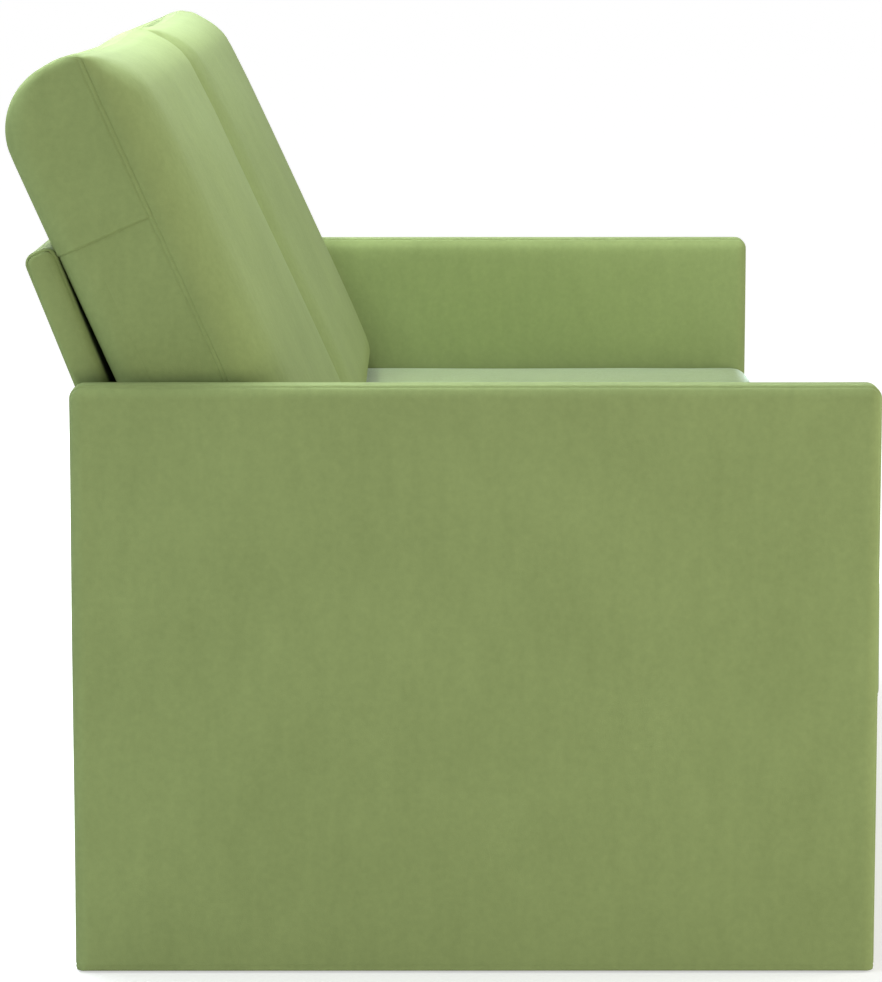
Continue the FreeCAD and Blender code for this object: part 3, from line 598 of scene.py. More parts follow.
# %% Arms
ARM_CORNER = 15 * MM
ARM_EDGE = 16 * MM
ARM_STEPS = np.array([0, 1, 2.5, 4.5, 7, 8, 9, 10, 11, 13, 16, 20, 25, 32]) * MM
ARM_HEM = 2.5 * MM
HEM_BELOW = 2 * MM
HEM_LINE = 4 * MM
HEM_LINE_WIDTH = 1.3 * MM
HEM_GROOVE = 0.8 * MM
ARM_SEAM_UP = 9 * MM
ARM_GROOVE = 1.1 * MM
ARM_PUFF = 1.2 * MM
RIM_PUFF_SHARE = 0.2
ARM_RIPPLE = 0.3 * MM
ARM_WAVE = 0.42
INNER_ROLL = 5 * MM
INNER_ROLL_REACH = 34 * MM
OUTER_ROLL = 1 * MM
OUTER_ROLL_REACH = 20 * MM
ROLL_FADE = 12 * MM


def make_arm(side):
    low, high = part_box(f"arm_{side}_cover")
    low.z -= HEM_BELOW
    deep, tall, thick = high.y - low.y, high.z - low.z, high.x - low.x
    edges = (ARM_EDGE, ARM_EDGE)
    local, quads, from_seam = sewn_block((deep, tall, thick), ARM_CORNER, edges, ARM_HEM, ARM_STEPS)
    along, up, through = local.T
    points = np.stack([low.x + through, low.y + along, low.z + up], 1)
    from_seam = from_seam + ARM_SEAM_UP
    panel = from_seam > 0
    puff = np.where(panel, ARM_PUFF, ARM_PUFF * RIM_PUFF_SHARE)
    relief = seam_relief(from_seam, ARM_GROOVE, puff) + ARM_RIPPLE * ripple(points, ARM_WAVE)
    relief = relief - HEM_GROOVE * bell(up - HEM_LINE, HEM_LINE_WIDTH)
    relief = np.where(up < ARM_HEM, 0, relief)
    points = points + outward(points, quads) * relief[:, None]
    inner = (through > thick / 2) == (side == "left")
    reach = np.where(inner, INNER_ROLL_REACH, OUTER_ROLL_REACH)
    roll = np.where(inner, INNER_ROLL, OUTER_ROLL) * (1 - ramp(tall - up, reach)) ** 2
    roll = roll * np.where(panel, 1, np.exp(np.minimum(from_seam, 0) / ROLL_FADE))
    points[:, 0] += roll * np.where(through < thick / 2, 1, -1)
    arm = sew_piece(f"arm_{side}", points, quads.tolist(), "velour", "sofa_frame")
    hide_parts(f"arm_{side}_cover", f"arm_{side}_padding")


for side in SIDES:
    make_arm(side)

# %% [markdown]
# ## Back panel
#
# A thin upholstered panel stands between the arms and leans back. Its cover is one wrap over front, top
# and rear, with a flat panel sewn in at each end, so it is the same sewn block, seen from its end and
# laid over by the rake. Near the ends its front edge is rounded off, which leaves the dark wedge beside
# the cushion.

# %% Back panel
PANEL_RAKE = math.radians(21.3)
PANEL_THICK = 34 * MM
PANEL_EDGE = 7 * MM
PANEL_CORNER = 12 * MM
PANEL_HEM = 1 * MM
PANEL_GROOVE = 1.4 * MM
PANEL_PUFF = 1.0 * MM
PANEL_SEAM_FADE = 70 * MM
PANEL_SEAM_LEAST = 0.05
PANEL_FRONT_ROUND = 22 * MM
PANEL_FRONT_SLOPE = 0.45
PANEL_TAPER = 100 * MM
PANEL_RIPPLE = 0.5 * MM
PANEL_WAVE = 0.5


def drop(radius, height):
    """How far a quarter round of this radius is set back, this far above its start."""
    short = np.clip(radius - height, 0, radius)
    return radius - np.sqrt(radius**2 - short**2)


def make_back_panel():
    low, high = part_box("back_cover")
    lean, rise = math.sin(PANEL_RAKE), math.cos(PANEL_RAKE)
    rounded_off = PANEL_CORNER * (lean + rise - 1)
    top_rear, top = high.y + rounded_off, high.z + rounded_off
    tall, wide = (top - low.z) / rise, high.x - low.x
    size = (PANEL_THICK, tall, wide)
    local, quads, from_seam = sewn_block(size, PANEL_CORNER, (PANEL_EDGE, PANEL_EDGE), PANEL_HEM)
    through, up, across = local.T
    tight = PANEL_SEAM_LEAST + (1 - PANEL_SEAM_LEAST) * (1 - ramp(tall - up, PANEL_SEAM_FADE))
    foot_level = (through - PANEL_THICK) * lean / rise
    up = up - foot_level * ramp(tall - up, tall) ** 4
    off_centre = across - wide / 2
    near_end = 1 - ramp(wide / 2 - np.abs(off_centre), PANEL_TAPER)
    set_back = PANEL_FRONT_SLOPE * drop(PANEL_FRONT_ROUND, through)
    across = across - np.sign(off_centre) * near_end * set_back
    points = np.stack([
        low.x + across,
        top_rear - (tall - up) * lean - (PANEL_THICK - through) * rise,
        top - (tall - up) * rise - through * lean,
    ], 1)
    relief = tight * seam_relief(from_seam, PANEL_GROOVE, PANEL_PUFF)
    relief = relief + PANEL_RIPPLE * ripple(points, PANEL_WAVE)
    points = points + outward(points, quads) * relief[:, None]
    panel = sew_piece("back_panel", points, quads.tolist(), "velour", "sofa_frame")
    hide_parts("back_cover", "back_padding")


make_back_panel()

# %% [markdown]
# ## Filling a cushion
#
# A loose cushion is a flat-cut cover pushed out by its filling. How far the cover swells could be guessed
# by a formula, but cloth does it better: a coarse copy of the cover is inflated by Blender's Cloth, held
# where the cushion rests and along its seams, and its movement is carried over to the fine mesh. The
# largest movement is set to the swell that the photograph shows, so the cushion keeps its size whatever
# the cloth does.

# %% Inflate a coarse copy
TRIAL_VOXEL = 14 * MM
TRIAL_FRAMES = 20
TRIAL_PRESSURE = 4.0


def inflated(points, faces, is_held):
    """Places of a coarse copy of the cover, and how far pressure moves each."""
    scene = bpy.context.scene
    mesh = bpy.data.meshes.new("trial_cover")
    mesh.from_pydata(points.tolist(), [], faces)
    trial = bpy.data.objects.new("trial_cover", mesh)
    scene.collection.objects.link(trial)
    coarse = trial.modifiers.new("coarse", "REMESH")
    coarse.mode = "VOXEL"
    coarse.voxel_size = TRIAL_VOXEL
    trial.data = bpy.data.meshes.new_from_object(trial.evaluated_get(bpy.context.evaluated_depsgraph_get()))
    trial.modifiers.clear()
    start = np.array([v.co[:] for v in trial.data.vertices])
    held = trial.vertex_groups.new(name="held")
    held.add(np.flatnonzero(is_held(start)).tolist(), 1.0, "REPLACE")
    cloth = trial.modifiers.new("cloth", "CLOTH").settings
    cloth.vertex_group_mass = held.name
    cloth.use_pressure = True
    cloth.uniform_pressure_force = TRIAL_PRESSURE
    cloth.effector_weights.gravity = 0
    for moment in range(1, TRIAL_FRAMES + 1):
        scene.frame_set(moment)
    after = trial.evaluated_get(bpy.context.evaluated_depsgraph_get()).data
    move = np.array([v.co[:] for v in after.vertices]) - start
    scene.frame_set(1)
    bpy.data.objects.remove(trial)
    print("inflated a copy of", len(start), "points")
    return start, move


print("cloth trial ready")

# %% Carry the movement over
NEIGHBOURS = 8


def filled(points, faces, is_held, swell):
    """How far the filling moves each point of a cover, at most by the given swell."""
    start, move = inflated(points, faces, is_held)
    move *= swell / np.linalg.norm(move, axis=1).max()
    tree = KDTree(len(start))
    for index, place in enumerate(start):
        tree.insert(place, index)
    tree.balance()
    carried = np.zeros_like(points)
    for index, place in enumerate(points):
        near = tree.find_n(place, NEIGHBOURS)
        weight = np.array([1 / (distance + TRIAL_VOXEL / 4) ** 2 for _, _, distance in near])
        carried[index] = weight @ move[[other for _, other, _ in near]] / weight.sum()
    return carried


print("filling ready")

# %% [markdown]
# ## Seat cushions
#
# Each seat cushion is a block of foam with a top panel, a bottom panel and a boxing strip. It lies flat
# on the deck cloth, and its top crowns. The cover is set back a little before it is filled, so that the
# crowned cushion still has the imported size.

# %% Seat cushions
SEAT_CORNER = 22 * MM
SEAT_TOP_EDGE = 38 * MM
SEAT_BOTTOM_EDGE = 12 * MM
SEAT_CROWN = 5 * MM
SEAT_SET_BACK = 1.2 * MM
SEAT_GROOVE = 1.0 * MM
SEAT_PUFF = 0.8 * MM
SEAT_RIPPLE = 0.4 * MM
SEAT_WAVE = 0.37
SEAT_SEAM_REACH = 4 * MM
SEAT_SEAM_SHARE = 0.6


def make_seat_cushion(side):
    name = f"seat_cushion_{side}"
    low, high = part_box(f"{name}_cover")
    wide, deep = high.x - low.x, high.y - low.y
    tall = high.z - low.z - SEAT_CROWN
    edges = (SEAT_BOTTOM_EDGE, SEAT_TOP_EDGE)
    local, quads, from_seam = sewn_block((wide, deep, tall), SEAT_CORNER, edges)
    points = local + np.array(low)
    relief = seam_relief(from_seam, SEAT_GROOVE, SEAT_PUFF) + SEAT_RIPPLE * ripple(points, SEAT_WAVE)
    relief = relief - SEAT_SET_BACK
    resting = local[:, 2] < SEAT_BOTTOM_EDGE / 2
    shaped = points + outward(points, quads) * np.where(resting, 0, relief)[:, None]
    def is_held(place):
        return place[:, 2] < low.z + SEAT_BOTTOM_EDGE

    swell = filled(points, quads.tolist(), is_held, SEAT_CROWN + SEAT_SET_BACK)
    swell[np.abs(from_seam) < SEAT_SEAM_REACH] *= SEAT_SEAM_SHARE
    shaped = shaped + swell * ramp(local[:, 2] - SEAT_BOTTOM_EDGE, tall / 2)[:, None]
    cushion = sew_piece(name, shaped, quads.tolist(), "velour", name)
    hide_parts(f"{name}_cover", f"{name}_filling")
    cushion.data.materials[0] = raised_nap


for side in SIDES:
    make_seat_cushion(side)

# %% [markdown]
# ## Back cushions
#
# The back cushions lean on the panel's top edge. Seen from the end, the rear is straight, the crest is
# round, and the front panel swells forward from a lapped seam that runs parallel to the rear, two thirds
# of the way through. Slices across the lean keep that seam on one grid line from foot to crest, so the
# skin is lofted through such slices.

# %% Levels of the slices
CUSHION_LEAN = math.radians(24.0)
LEAN, RISE = math.sin(CUSHION_LEAN), math.cos(CUSHION_LEAN)
CREST_REAR = 72.5 * MM
BOXING_DROP = 7.5 * MM
CREST_TOP = CREST_REAR - BOXING_DROP
CROSS_SEAM_BELOW_CREST = 124.5 * MM
FOOT_STEPS = np.array([0, 1, 3, 6, 10, 15, 21, 28, 36, 46, 58]) * MM
CROSS_STEPS = np.array([-9, -5, -2.8, -1.6, -0.8, 0, 0.8, 1.6, 2.8, 5, 9]) * MM
CREST_ANGLES = np.concatenate([np.arange(6, 78, 4), [79, 82, 84.5]])
MIDDLE_STEPS = 20
UPPER_STEPS = 9


def slice_levels(foot):
    """Levels of the slices along the lean, from the foot, with the crest's centre at zero."""
    low = foot + FOOT_STEPS
    near = -CROSS_SEAM_BELOW_CREST + CROSS_STEPS
    middle = np.linspace(low[-1], near[0], MIDDLE_STEPS)[1:-1]
    upper = np.linspace(near[-1], 0, UPPER_STEPS)[1:]
    crest = CREST_TOP * np.sin(np.radians(CREST_ANGLES))
    return np.concatenate([low, middle, near, upper, crest])


print(len(CREST_ANGLES), "slices round the crest")

# %% [markdown]
# ### Profile
#
# A pattern maker draws a cushion from its side first. The rear line goes up along the lean and over the
# crest, the front line leans a little more and rolls under at the foot. The rest follows from these two:
# where the seam runs, how far the front bulges ahead of it, and how wide the slice is.

# %% Profile of a back cushion
FRONT_LEAN = math.radians(24.8)
CREST_FRONT = 78 * MM
CREST_FLAT = 11 * MM
CREST_ROUND_SIDE = 10 * MM
SEAM_FROM_REAR = 112 * MM
SIDE_ROUND_REAR = 28 * MM
SIDE_ROUND_FRONT = 100 * MM
SIDE_DRAWN_IN = 3 * MM
FOOT_ROUND_FRONT = 42 * MM
FOOT_ROUND_REAR = 15 * MM
FOOT_ROUND_SIDE = 14 * MM
LEAST_BULGE = 9 * MM
BULGE_SHARE = 0.3
HEEL_SHARE = 0.45
TURN_PER_BULGE = 3.5
LEAST_TURN = 8 * MM


def cushion_profile(level, foot, half_wide):
    """Rear, front, seam, half width, heel, turn and bulge of each slice, measured from the rear plane."""
    above_foot = (level - foot) * RISE
    shift_y, shift_z = -CREST_FLAT, CREST_REAR - CREST_FRONT
    front_u = shift_y * LEAN + shift_z * RISE
    front_w = CREST_REAR - shift_y * RISE + shift_z * LEAN
    taper = FRONT_LEAN - CUSHION_LEAN
    tangent_u = front_u + CREST_FRONT * math.sin(taper)
    tangent_w = front_w + CREST_FRONT * math.cos(taper)

    def arc(radius, start):
        return np.sqrt(np.clip(radius**2 - np.clip(level - start, 0, None) ** 2, 0, None))

    rear = CREST_REAR - arc(CREST_REAR, -BOXING_DROP) + drop(FOOT_ROUND_REAR, above_foot)
    over = front_w + arc(CREST_FRONT, front_u)
    front = np.where(level > tangent_u, over, tangent_w + (tangent_u - level) * math.tan(taper))
    front = front - drop(FOOT_ROUND_FRONT, above_foot)
    half = half_wide - drop(FOOT_ROUND_SIDE, above_foot) - drop(CREST_ROUND_SIDE, CREST_TOP - level)
    share = above_foot / RISE / -foot
    half = half - SIDE_DRAWN_IN * np.clip(4 * share * (1 - share), 0, 1)
    bulge = np.maximum(front - SEAM_FROM_REAR, np.minimum(LEAST_BULGE, (front - rear) * BULGE_SHARE))
    turn = np.minimum(SIDE_ROUND_FRONT, TURN_PER_BULGE * bulge + LEAST_TURN)
    seam = front - bulge
    heel = np.minimum(SIDE_ROUND_REAR, (seam - rear) * HEEL_SHARE)
    return rear, front, seam, half, heel, turn, bulge


print("seam", SEAM_FROM_REAR / MM, "mm ahead of the rear")

# %% [markdown]
# ### Slices
#
# Each slice is a ring of points: along the rear, round the heel, along the boxing to the seam, round the
# front corner and across the front. The front corner turns ever faster towards the seam, as cloth does
# over a soft filling. Low down, the rear hangs free of the panel and swells into the wedge before it.

# %% One slice
FRONT_CROWN = 4 * MM
CROWN_RISE = 90 * MM
CROWN_FALL = 160 * MM
REAR_SWELL = 15 * MM
REAR_FREE = 300 * MM
REAR_SWELL_RISE = 60 * MM
ACROSS = np.linspace(0, 1, 33)[1:]
QUARTER = np.radians(np.linspace(0, 90, 9)[1:])
BOXING_STEPS = np.array([70, 55, 40, 28, 19, 13, 9, 7, 5.6, 4.9, 4.2, 3.5, 2.8, 2.1, 1.4, 0.7, 0])
BOXING_WIDTH = 87
TO_SEAM = 1 - BOXING_STEPS / BOXING_WIDTH
SWEEP = np.radians([0.8, 1.6, 2.6, 4, 6, 9, 13, 18, 24, 31, 39, 47, 55, 63, 71, 78, 83, 86, 88])
FORWARD = SWEEP / SWEEP[-1]
INSIDE = np.log(np.cos(SWEEP)) / np.log(np.cos(SWEEP[-1]))


def slice_ring(height, tall, rear, front, seam, half, heel, turn, bulge):
    """A ring of points across and through the cushion, this far above its foot."""
    loose = REAR_SWELL * (1 - ramp(height, REAR_FREE)) * ramp(height, REAR_SWELL_RISE)
    fade = ramp(height, CROWN_RISE) * ramp(tall - height, CROWN_FALL)
    x = np.concatenate([
        [0],
        ACROSS * (half - heel),
        half - heel + heel * np.sin(QUARTER),
        np.full(len(TO_SEAM), half),
        half - turn * INSIDE,
        (half - turn) * (1 - ACROSS),
    ])
    w = np.concatenate([
        [rear - loose],
        rear - loose * (1 - ACROSS**2) ** 2,
        rear + heel * (1 - np.cos(QUARTER)),
        rear + heel + (seam - rear - heel) * TO_SEAM,
        seam + bulge * FORWARD,
        front + FRONT_CROWN * fade * (1 - (1 - ACROSS) ** 2) ** 2,
    ])
    return np.stack([np.concatenate([x, -x[-2:0:-1]]), np.concatenate([w, w[-2:0:-1]])], 1)


print(len(SWEEP), "steps round each front corner")

# %% [markdown]
# ### Skin
#
# The rings are stacked along the lean and closed over the crest by three narrower ones. The lowest slices
# tip level, so that the cushion stands flat on the seat, and the crest sags between its ends, where the
# boxing holds it up.

# %% Skin of a back cushion
CREST_SAG = 8 * MM
CREST_CLOSING = ((0.75, 0.7 * MM), (0.45, 1.3 * MM), (0.15, 1.6 * MM))
CLOSING_DRAWN_IN = 0.02
FOOT_LEVELLED = 260 * MM


def back_cushion_skin(side):
    low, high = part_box(f"back_cushion_{side}_cover")
    centre_y, centre_z = high.y - CREST_REAR, high.z - CREST_REAR
    centre_x, half_wide = (low.x + high.x) / 2, (high.x - low.x) / 2
    foot = (low.z - centre_z) / RISE
    level = slice_levels(foot)
    heights = (level - foot) * RISE
    profile = zip(*cushion_profile(level, foot, half_wide))
    rows = [slice_ring(height, high.z - low.z, *shape) for height, shape in zip(heights, profile)]
    edge_row, edge_level = rows[-1], level[-1]
    middle = (edge_row[:, 1].min() + edge_row[:, 1].max()) / 2
    for narrow, raised in CREST_CLOSING:
        rows.append(edge_row * (1 - CLOSING_DRAWN_IN * (1 - narrow), narrow) + (0, middle * (1 - narrow)))
        level = np.append(level, edge_level + raised)
    across, through = np.moveaxis(np.array(rows), -1, 0)
    slant = 1 - ramp((level - foot) * RISE, FOOT_LEVELLED)[:, None]
    along = level[:, None] - slant * (through - CREST_REAR) * LEAN / RISE
    along = along - CREST_SAG * ramp(level, CREST_TOP)[:, None] * (1 - (across / half_wide) ** 2)
    points = np.stack([
        centre_x + across,
        centre_y + along * LEAN - (through - CREST_REAR) * RISE,
        centre_z + along * RISE + (through - CREST_REAR) * LEAN,
    ], -1)
    number = np.arange(across.size).reshape(across.shape)
    beside = np.roll(number, -1, axis=1)
    quads = np.stack([number[:-1], beside[:-1], beside[1:], number[1:]], -1).reshape(-1, 4)
    caps = [number[0, ::-1].tolist(), number[-1].tolist()]
    return points.reshape(-1, 3), quads, caps, through.ravel(), along.ravel()


print("back cushions sag", CREST_SAG / MM, "mm along the crest")

# %% [markdown]
# ### Lapped seam and filling
#
# The front panel's edge is lapped over the boxing and stitched twice, so the seam is a low flat band
# between two fine lines. Higher up the boxing is a second piece, sewn on with one cross seam that stands
# a little proud. Only the front swells: the rest of the cover is held by the panel behind it.

# %% Back cushions
LAP_WIDTH = 4.2 * MM
LAP_BAND = 0.55
LAP_GROOVE = 0.9 * MM
LAP_RAISE = 0.5 * MM
LAP_LINE = 0.7 * MM
BOXING_START = 6 * MM
CROSS_STEP = 1.6 * MM
CROSS_RISE = 0.5 * MM
CROSS_GROOVE = 1.1 * MM
CROSS_LINE = 0.9 * MM
CUSHION_RIPPLE = 0.6 * MM
CUSHION_WAVE = 0.4
FRONT_SWELL = 6 * MM
SWELL_START = 20 * MM
HELD_FOOT = 20 * MM
HELD_PAST_SEAM = 4 * MM


def make_back_cushion(side):
    name = f"back_cushion_{side}"
    points, quads, caps, through, along = back_cushion_skin(side)
    from_seam = SEAM_FROM_REAR - through
    band = np.exp(-(((from_seam - LAP_WIDTH / 2) / (LAP_WIDTH * LAP_BAND)) ** 4))
    lines = bell(from_seam, LAP_LINE) + bell(from_seam - LAP_WIDTH, LAP_LINE)
    above = along + CROSS_SEAM_BELOW_CREST
    cross = CROSS_STEP / (1 + np.exp(-above / CROSS_RISE)) - CROSS_GROOVE * bell(above, CROSS_LINE)
    relief = LAP_RAISE * band - LAP_GROOVE * lines + ramp(from_seam, BOXING_START) * cross
    relief = relief + CUSHION_RIPPLE * ripple(points, CUSHION_WAVE)
    shaped = points + outward(points, quads) * relief[:, None]
    faces = quads.tolist() + caps
    low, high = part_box(f"{name}_cover")
    rear_plane = (high.y - CREST_REAR) * RISE - (high.z - CREST_REAR) * LEAN + CREST_REAR

    def is_held(place):
        into = rear_plane - (place[:, 1] * RISE - place[:, 2] * LEAN)
        return (place[:, 2] < low.z + HELD_FOOT) | (into < SEAM_FROM_REAR + HELD_PAST_SEAM)

    swell = filled(points, faces, is_held, FRONT_SWELL)
    shaped = shaped + swell * ramp(-from_seam, SWELL_START)[:, None]
    cushion = sew_piece(name, shaped, faces, "velour", name)
    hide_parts(f"{name}_cover", f"{name}_filling")


for side in SIDES:
    make_back_cushion(side)

# %% [markdown]
# ## Concealed zips
#
# Every loose cover opens for washing. Its zip lies under two velour lips that meet in a fine slit, round
# the foot of a back cushion and round the rear of a seat cushion. Each lip is only a ridge under a
# millimetre high, so the strip is laid on the finished cover by casting rays at it, and given its own
# thickness.

# %% Lips of a zip
LIP_OFFSETS = np.array([-14, -9, -6, -3.5, -1.2, -0.5, 0, 0.5, 1.2, 3.5, 6, 9, 14]) * MM
LIP_HEIGHTS = np.array([-0.6, -0.15, 0.03, 0.09, 0.12, 0.02, -0.4, 0.02, 0.12, 0.09, 0.03, -0.15, -0.6]) * MM
LIP_ENDS = 4
LIP_TUCK = 0.7 * MM
STRIP_THICK = 1.6 * MM
CAST_FROM = 40 * MM


def lay_zip(name, path, across):
    """A zip's two lips on a cushion, along a row of places on its cover, with the way in at each."""
    cover = bpy.data.objects[name].data
    faces = [list(face.vertices) for face in cover.polygons]
    skin = BVHTree.FromPolygons([v.co for v in cover.vertices], faces)
    rows = []
    for step, (place, inward) in enumerate(path):
        tuck = LIP_TUCK * max(0, 1 - min(step, len(path) - 1 - step) / LIP_ENDS)
        for offset, height in zip(LIP_OFFSETS, LIP_HEIGHTS - tuck):
            found, normal, _, _ = skin.ray_cast(place + across * offset - inward * CAST_FROM, inward)
            rows += [found + normal * height, found + normal * (height - STRIP_THICK)]
    _, quads = block_skin([np.arange(len(path)), np.arange(len(LIP_OFFSETS)), np.arange(2)])
    strip = sew_piece(f"{name}_lips", np.array(rows), quads.tolist(), "velour", name)
    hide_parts(f"{name}_zip")


def u_path(half, depth, round_by, steps):
    """Places and inward ways along a U: in from one end, round the bottom and out at the other."""
    flat = half - round_by
    rows = [(half, t, -1, 0) for t in np.linspace(depth, round_by, steps)[:-1]]
    for t in np.radians(np.linspace(0, 90, 9)):
        x, y = flat + round_by * math.cos(t), round_by - round_by * math.sin(t)
        rows.append((x, y, -math.cos(t), math.sin(t)))
    rows += [(x, 0, 0, 1) for x in np.linspace(flat, 0, steps)[1:]]
    return rows + [(-x, y, -dx, dy) for x, y, dx, dy in rows[-2::-1]]


print("lips", LIP_OFFSETS[-1] / MM, "mm wide")

# %% Zips
ZIP_STEPS = 40
SEAT_ZIP_HEIGHT = 75 * MM
SEAT_ZIP_REACH = 118 * MM
ZIP_FROM_REAR = 37 * MM
ZIP_BELOW_CROSS_SEAM = 4 * MM


def seat_zip(name):
    low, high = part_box(f"{name}_cover")
    middle = (low.x + high.x) / 2
    path = []
    for x, y, dx, dy in u_path((high.x - low.x) / 2, SEAT_ZIP_REACH, SEAT_CORNER, ZIP_STEPS):
        path.append((Vector((middle + x, high.y - y, low.z + SEAT_ZIP_HEIGHT)), Vector((dx, -dy, 0))))
    lay_zip(name, path, Vector((0, 0, 1)))


def back_zip(name):
    low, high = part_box(f"{name}_cover")
    up = Vector((0, LEAN, RISE))
    ahead = Vector((0, -up.z, up.y))
    crest = Vector(((low.x + high.x) / 2, high.y - CREST_REAR, high.z - CREST_REAR))
    above = crest + ahead * (ZIP_FROM_REAR - CREST_REAR)
    foot = above - up * ((above.z - low.z) / up.z)
    tall = (above - foot).length - CROSS_SEAM_BELOW_CREST - ZIP_BELOW_CROSS_SEAM
    path = []
    for x, y, dx, dy in u_path((high.x - low.x) / 2, tall, FOOT_ROUND_SIDE, ZIP_STEPS):
        path.append((foot + Vector((x, 0, 0)) + up * y, Vector((dx, 0, 0)) + up * dy))
    lay_zip(name, path, ahead)


for side in SIDES:
    seat_zip(f"seat_cushion_{side}")
    back_zip(f"back_cushion_{side}")

# %% [markdown]
# ## Front border
#
# Below the seat cushions a padded board closes the front of the base. It is covered like an arm, with its
# strip over the top and a hem below.

# %% Front border
BORDER_CORNER = 9 * MM
BORDER_EDGE = 3 * MM
BORDER_RIPPLE = 0.4 * MM
BORDER_WAVE = 0.4


def make_front_border():
    low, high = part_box("front_border_cover")
    size = (high.y - low.y, high.z - low.z, high.x - low.x)
    local, quads, _ = sewn_block(size, BORDER_CORNER, (BORDER_EDGE, BORDER_EDGE), ARM_HEM)
    along, up, through = local.T
    points = np.stack([low.x + through, low.y + along, low.z + up], 1)
    relief = BORDER_RIPPLE * ripple(points, BORDER_WAVE) - BORDER_RIPPLE
    points = points + outward(points, quads) * relief[:, None]
    border = sew_piece("front_border", points, quads.tolist(), "velour", "sofa_frame")
    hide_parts("front_border_cover", "front_border_padding")


make_front_border()

# %% [markdown]
# ## Stretched cloths
#
# Three plain sheets close the base: velour across its rear, a black deck cloth over the springs and a
# black dust cover underneath. Each is pulled tight over a timber frame and stapled, so it only ripples a
# little, and the dust cover sags between its edges. A grid with a thickness is enough, with an opening
# where the middle foot comes through.

# %% A stretched sheet
SHEET_PITCH = 30 * MM
SHEET_STEPS = EDGE_STEPS[::3]
SHEET_WAVE = 0.3


def cut_line(line, near, far):
    """Grid lines of a sheet with an opening: none inside it, and one along each of its edges."""
    return np.unique(np.concatenate([line[(line < near) | (line > far)], [near, far]]))


def make_sheet(name, node, flat_axes, ripple_by, slot, hole=None, sag=0.0):
    """A sheet in place of a node: held along its edges, slackest in the middle, and cut open for a hole."""
    low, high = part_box(node)
    first, second = flat_axes
    normal = 3 - first - second
    lines = [ruler(high[axis] - low[axis], SHEET_STEPS, SHEET_PITCH) + low[axis] for axis in flat_axes]
    if hole:
        near, far = hole
        lines = [cut_line(line, near[axis], far[axis]) for line, axis in zip(lines, flat_axes)]
    grid = np.stack(np.meshgrid(*lines, indexing="ij"), -1)
    points = np.zeros(grid.shape[:2] + (3,))
    points[..., first], points[..., second] = grid[..., 0], grid[..., 1]
    spread = [(grid[..., k] - low[axis]) / (high[axis] - low[axis]) for k, axis in enumerate(flat_axes)]
    slack = 16 * spread[0] * (1 - spread[0]) * spread[1] * (1 - spread[1])
    points[..., normal] = (low[normal] + high[normal]) / 2 - sag * slack
    points[..., normal] += ripple_by * slack * ripple(points.reshape(-1, 3), SHEET_WAVE).reshape(slack.shape)
    quads = grid_quads(np.arange(slack.size).reshape(slack.shape))
    if hole:
        centre = (grid[:-1, :-1] + grid[1:, 1:]) / 2
        through = np.ones(centre.shape[:2], bool)
        for k, axis in enumerate(flat_axes):
            through &= (centre[..., k] > near[axis]) & (centre[..., k] < far[axis])
        quads = quads[~through]
    sheet = sew_piece(name, points.reshape(-1, 3), quads.reshape(-1, 4).tolist(), slot, "sofa_frame")
    thickness = sheet.modifiers.new("thickness", "SOLIDIFY")
    thickness.thickness = high[normal] - low[normal]
    thickness.offset = 0
    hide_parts(node)


print("sheet lines every", SHEET_PITCH / MM, "mm")

# %% Sheets
FOOT_CLEARANCE = Vector((2 * MM, 2 * MM, 0))
DUST_COVER_SAG = 5 * MM
foot_low, foot_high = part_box("base_middle_foot")
opening = (foot_low - FOOT_CLEARANCE, foot_high + FOOT_CLEARANCE)
make_sheet("rear_border", "rear_border_cover", (0, 2), 0.5 * MM, "velour")
make_sheet("deck_lining", "deck_cloth", (0, 1), 0.2 * MM, "lining_cloth")
make_sheet("dust_lining", "dust_cover", (0, 1), 0.8 * MM, "lining_cloth", opening, DUST_COVER_SAG)

# %% [markdown]
# ## Staples
#
# The dust cover's edge is stapled to the rails. A staple's back is a short round-edged bar of flat wire,
# one every few centimetres and never quite in line, because an upholsterer shoots them by eye.

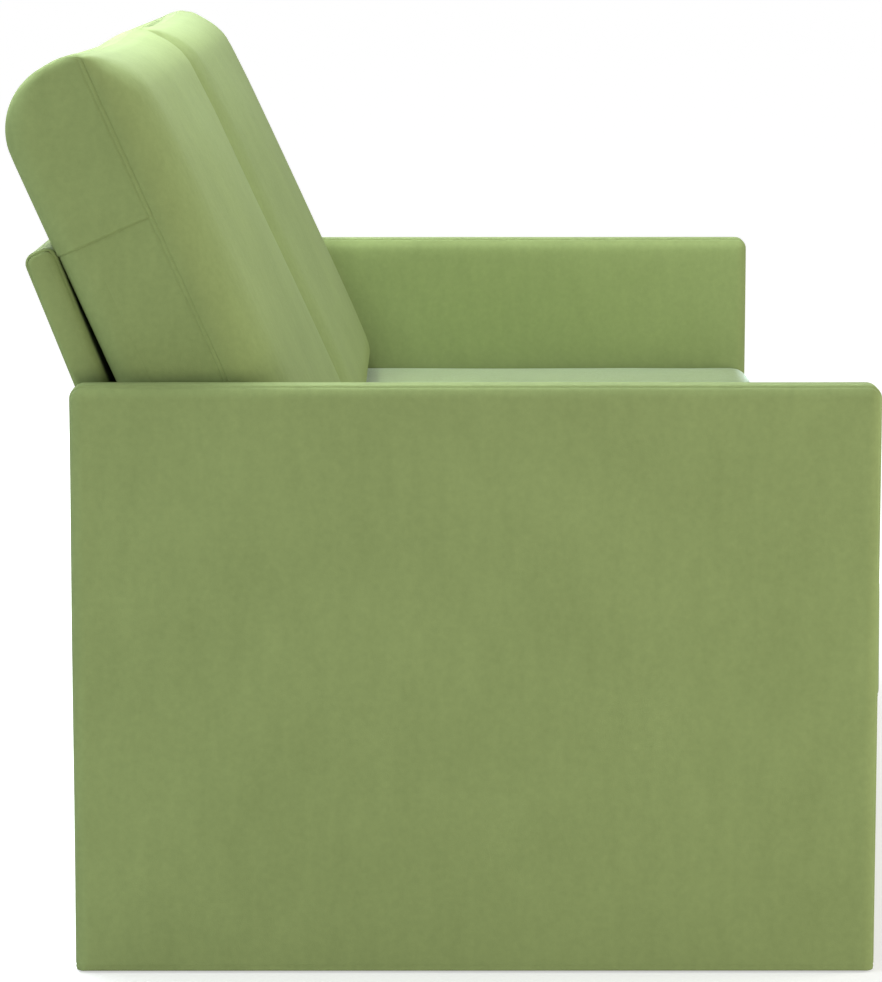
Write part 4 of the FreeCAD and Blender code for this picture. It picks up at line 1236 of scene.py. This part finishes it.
# %% Staples
STAPLE_PITCH = 58 * MM
STAPLE_LENGTH = 10 * MM
STAPLE_WIDTH = 1.2 * MM
STAPLE_HEIGHT = 0.6 * MM
STAPLE_INSET = 14 * MM
STAPLE_TILT = 0.25
STAPLE_WANDER = 4
STAPLE_SEED = 7
STAPLE_SECTION = ((-1, 0), (-0.6, -1), (0.6, -1), (1, 0))
STAPLE_ENDS = ((-0.5, 0), (-0.44, 1), (0.44, 1), (0.5, 0))
STAPLE_QUADS = grid_quads(np.arange(16).reshape(4, 4)).reshape(-1, 4)[:, [0, 3, 2, 1]]


def staple_bar(place, along):
    """Four rows of four points on one staple's back, seen from below."""
    beside = Vector((-along.y, along.x, 0))
    rows = []
    for reach, full in STAPLE_ENDS:
        for wide, deep in STAPLE_SECTION:
            sideways = beside * (wide * STAPLE_WIDTH / 2)
            down = Vector((0, 0, deep * full * STAPLE_HEIGHT))
            rows.append(place + along * (reach * STAPLE_LENGTH) + sideways + down)
    return rows


low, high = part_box("dust_cover")
random = np.random.default_rng(STAPLE_SEED)
points, faces = [], []
for along, start, length in (
    (Vector((1, 0, 0)), Vector((low.x, low.y + STAPLE_INSET, low.z)), high.x - low.x),
    (Vector((1, 0, 0)), Vector((low.x, high.y - STAPLE_INSET, low.z)), high.x - low.x),
    (Vector((0, 1, 0)), Vector((low.x + STAPLE_INSET, low.y, low.z)), high.y - low.y),
    (Vector((0, 1, 0)), Vector((high.x - STAPLE_INSET, low.y, low.z)), high.y - low.y),
):
    for step in range(1, int(length / STAPLE_PITCH)):
        tilt = random.uniform(-STAPLE_TILT, STAPLE_TILT)
        way = Vector((along.x - along.y * tilt, along.y + along.x * tilt, 0)).normalized()
        wander = random.uniform(-STAPLE_WANDER, STAPLE_WANDER) * MM
        faces += (STAPLE_QUADS + len(points)).tolist()
        points += staple_bar(start + along * (step * STAPLE_PITCH + wander), way)
sew_piece("dust_cover_staples", np.array(points), faces, "zinc_steel", "sofa_frame")
print(len(points) // 16, "staples")
